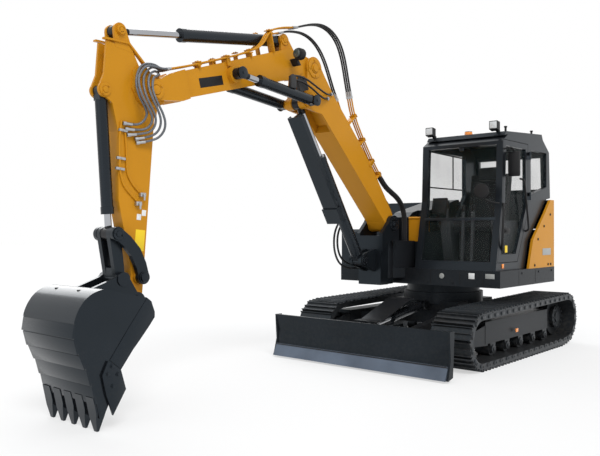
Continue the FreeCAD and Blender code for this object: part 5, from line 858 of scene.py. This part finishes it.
def beltPlaces(settings):
    # evenly spaced places round the belt, each with the way along it and the way out of it
    front, rear = Vector(settings["front"][:2]), Vector(settings["rear"][:2])
    small, large = settings["front"][2] - settings["depth"], settings["rear"][2] - settings["depth"]
    gap = front - rear
    tilt, lean = math.atan2(gap.y, gap.x), math.acos((large - small) / gap.length)
    straight = math.sqrt(gap.length ** 2 - (large - small) ** 2)
    rearArc, frontArc = large * (2 * math.pi - 2 * lean), small * 2 * lean
    # each stretch as its length, the angle it starts at, the bend it hangs on and how it turns
    stretches = ((straight, tilt + lean, front, small, 0), (rearArc, tilt + lean, rear, large, 1),
                 (straight, tilt - lean, rear, large, 0), (frontArc, tilt - lean, front, small, 1))
    pitch = (2 * straight + rearArc + frontArc) / settings["links"]
    places = []
    for i in range(settings["links"]):
        along = pitch * i
        for length, angle, centre, radius, bend in stretches:
            if along < length:
                break
            along -= length
        angle += bend * along / radius
        out = Vector((math.cos(angle), math.sin(angle)))
        ahead = Vector((-out.y, out.x))
        places.append((centre + out * radius + ahead * along * (1 - bend), ahead, out))
    return places


def buildTrackTrim(settings):
    # chain links on the outer faces of both belts
    face = settings["face"]
    forms = []
    for middle, ahead, out in beltPlaces(settings):
        outline = [middle + ahead * a + out * b for a, b in settings["link"]]
        for side, plate in zip((1, -1), bothSides("prism", (outline,), face - 0.004, face + 0.007, 0.003)):
            forms += [plate, ("bolt", middle - ahead * 0.022, 0.010, side * (face + 0.007), side * 0.004)]
    makeFromForms("chainLinks", "trackSteel", "undercarriage", forms, rowFrame, "track_steel")
    # roller hubs and the drive motor's bolt circle on both sides
    low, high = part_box("rollers")
    height = (low[2] + high[2]) / 2
    forms = []
    for side, edge in ((1, high[1]), (-1, low[1])):
        for i in range(settings["rollers"]):
            centre = (settings["first"] + i * settings["pitch"], height)
            for share, reach, segments, bevel in ((1, 0.012, 28, 0.004), (0.45, 0.020, 6, 0.003)):
                ends = sorted((edge, edge + side * reach))
                forms.append(("disc", centre, settings["hub"] * share, *ends, segments, bevel))
    makeFromForms("rollerHubs", "trackSteel", "undercarriage", forms, rowFrame, "track_steel")
    low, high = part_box("sprockets")
    x, z, _ = settings["rear"]
    forms = [("bolt", (x + a, z + b), 0.011, edge, side * 0.010) for side, edge in ((1, high[1]), (-1, low[1]))
             for a, b in circlePoints(settings["boltCircle"], settings["motorBolts"])]
    makeFromForms("driveBolts", "trackSteel", "undercarriage", forms, rowFrame, "track_steel")


buildHoses(hoseSettings)
buildClamps(clampSettings)
buildBosses(bossSettings, pinCapSettings)
print("hoses, clamps and pin caps built")
buildBucketTrim(bucketSettings)
buildBladeTrim(bladeSettings)
buildCabTrim(cabSettings)
buildMirrors(mirrorSettings)
print("bucket, blade and cab trim built")
buildLabels(labelSettings)
buildCoverTrim(coverSettings)
buildBoomExtras(blockSettings)
buildTrackTrim(trackSettings)
print("labels, covers, boom and track trim built")


stageSettings = {"floorSize": 120.0, "floorColour": (0.80, 0.80, 0.80, 1), "floorGlow": 0.55,
                 "skyColour": (0.97, 0.985, 1, 1), "skyStrength": 0.75,
                 # each sun as its energy, where it shines from and its angle across
                 "suns": {"keySun": (1.65, (0.55, 1.0, 1.25), 24.0), "fillSun": (0.35, (1.0, 0.1, 0.5), 60.0),
                          "backSun": (0.9, (-0.4, -0.85, 0.55), 40.0)}}


def mixBackground(tree, lit, white, whiteShare, target):
    # camera, glossy and transmission rays see the white share; every other ray sees the lit surface
    path = addNode(tree, "ShaderNodeLightPath").outputs
    direct = addMath(tree, "ADD", path["Is Camera Ray"], path["Is Glossy Ray"])
    seen = addMath(tree, "ADD", direct, path["Is Transmission Ray"], clamp=True)
    share = addMath(tree, "MULTIPLY", seen, whiteShare)
    mix = addNode(tree, "ShaderNodeMixShader", {"Fac": share, 1: lit.outputs[0], 2: white.outputs[0]})
    tree.links.new(mix.outputs[0], tree.nodes[target].inputs["Surface"])


def buildStage(settings):
    half = settings["floorSize"] / 2
    mesh = bpy.data.meshes.new("studioFloor")
    mesh.from_pydata([(-half, -half, 0), (half, -half, 0), (half, half, 0), (-half, half, 0)], [], [(0, 1, 2, 3)])
    floor = bpy.data.objects.new("studioFloor", mesh)
    bpy.context.scene.collection.objects.link(floor)
    paper, tree, shader = newMaterial("studioPaper")
    for label, value in (("Base Color", settings["floorColour"]), ("Roughness", 0.9), ("Specular IOR Level", 0.0)):
        shader.inputs[label].default_value = value
    mixBackground(tree, shader, addNode(tree, "ShaderNodeEmission"), settings["floorGlow"], "Material Output")
    mesh.materials.append(paper)
    world = bpy.data.worlds.new("studioSky")
    bpy.context.scene.world = world
    world.use_nodes = True
    tree = world.node_tree
    sky = tree.nodes["Background"]
    sky.inputs["Color"].default_value = settings["skyColour"]
    sky.inputs["Strength"].default_value = settings["skyStrength"]
    white = addNode(tree, "ShaderNodeBackground", {"Color": (1, 1, 1, 1)})
    mixBackground(tree, sky, white, 1.0, "World Output")
    for name, (energy, source, angle) in settings["suns"].items():
        lamp = bpy.data.lights.new(name, "SUN")
        lamp.energy = energy
        lamp.angle = math.radians(angle)
        holder = bpy.data.objects.new(name, lamp)
        holder.rotation_euler = Vector(source).to_track_quat("Z", "Y").to_euler()
        bpy.context.scene.collection.objects.link(holder)


cameraSettings = {"place": (5.7931, 4.2991, 1.3997), "yaw": 221.029, "pitch": 0.27, "lens": 42.106, "sensor": 36.0}


def buildCamera(settings):
    data = bpy.data.cameras.new("mainCamera")
    data.lens = settings["lens"]
    data.sensor_width = settings["sensor"]
    data.clip_end = 300
    camera = bpy.data.objects.new("mainCamera", data)
    yaw, pitch = math.radians(settings["yaw"]), math.radians(settings["pitch"])
    ahead = Vector((math.cos(yaw) * math.cos(pitch), math.sin(yaw) * math.cos(pitch), math.sin(pitch)))
    camera.location = settings["place"]
    camera.rotation_euler = ahead.to_track_quat("-Z", "Y").to_euler()
    bpy.context.scene.collection.objects.link(camera)
    bpy.context.scene.camera = camera


buildStage(stageSettings)
buildCamera(cameraSettings)
bpy.context.scene.view_settings.view_transform = "Standard"
print("stage and camera built")
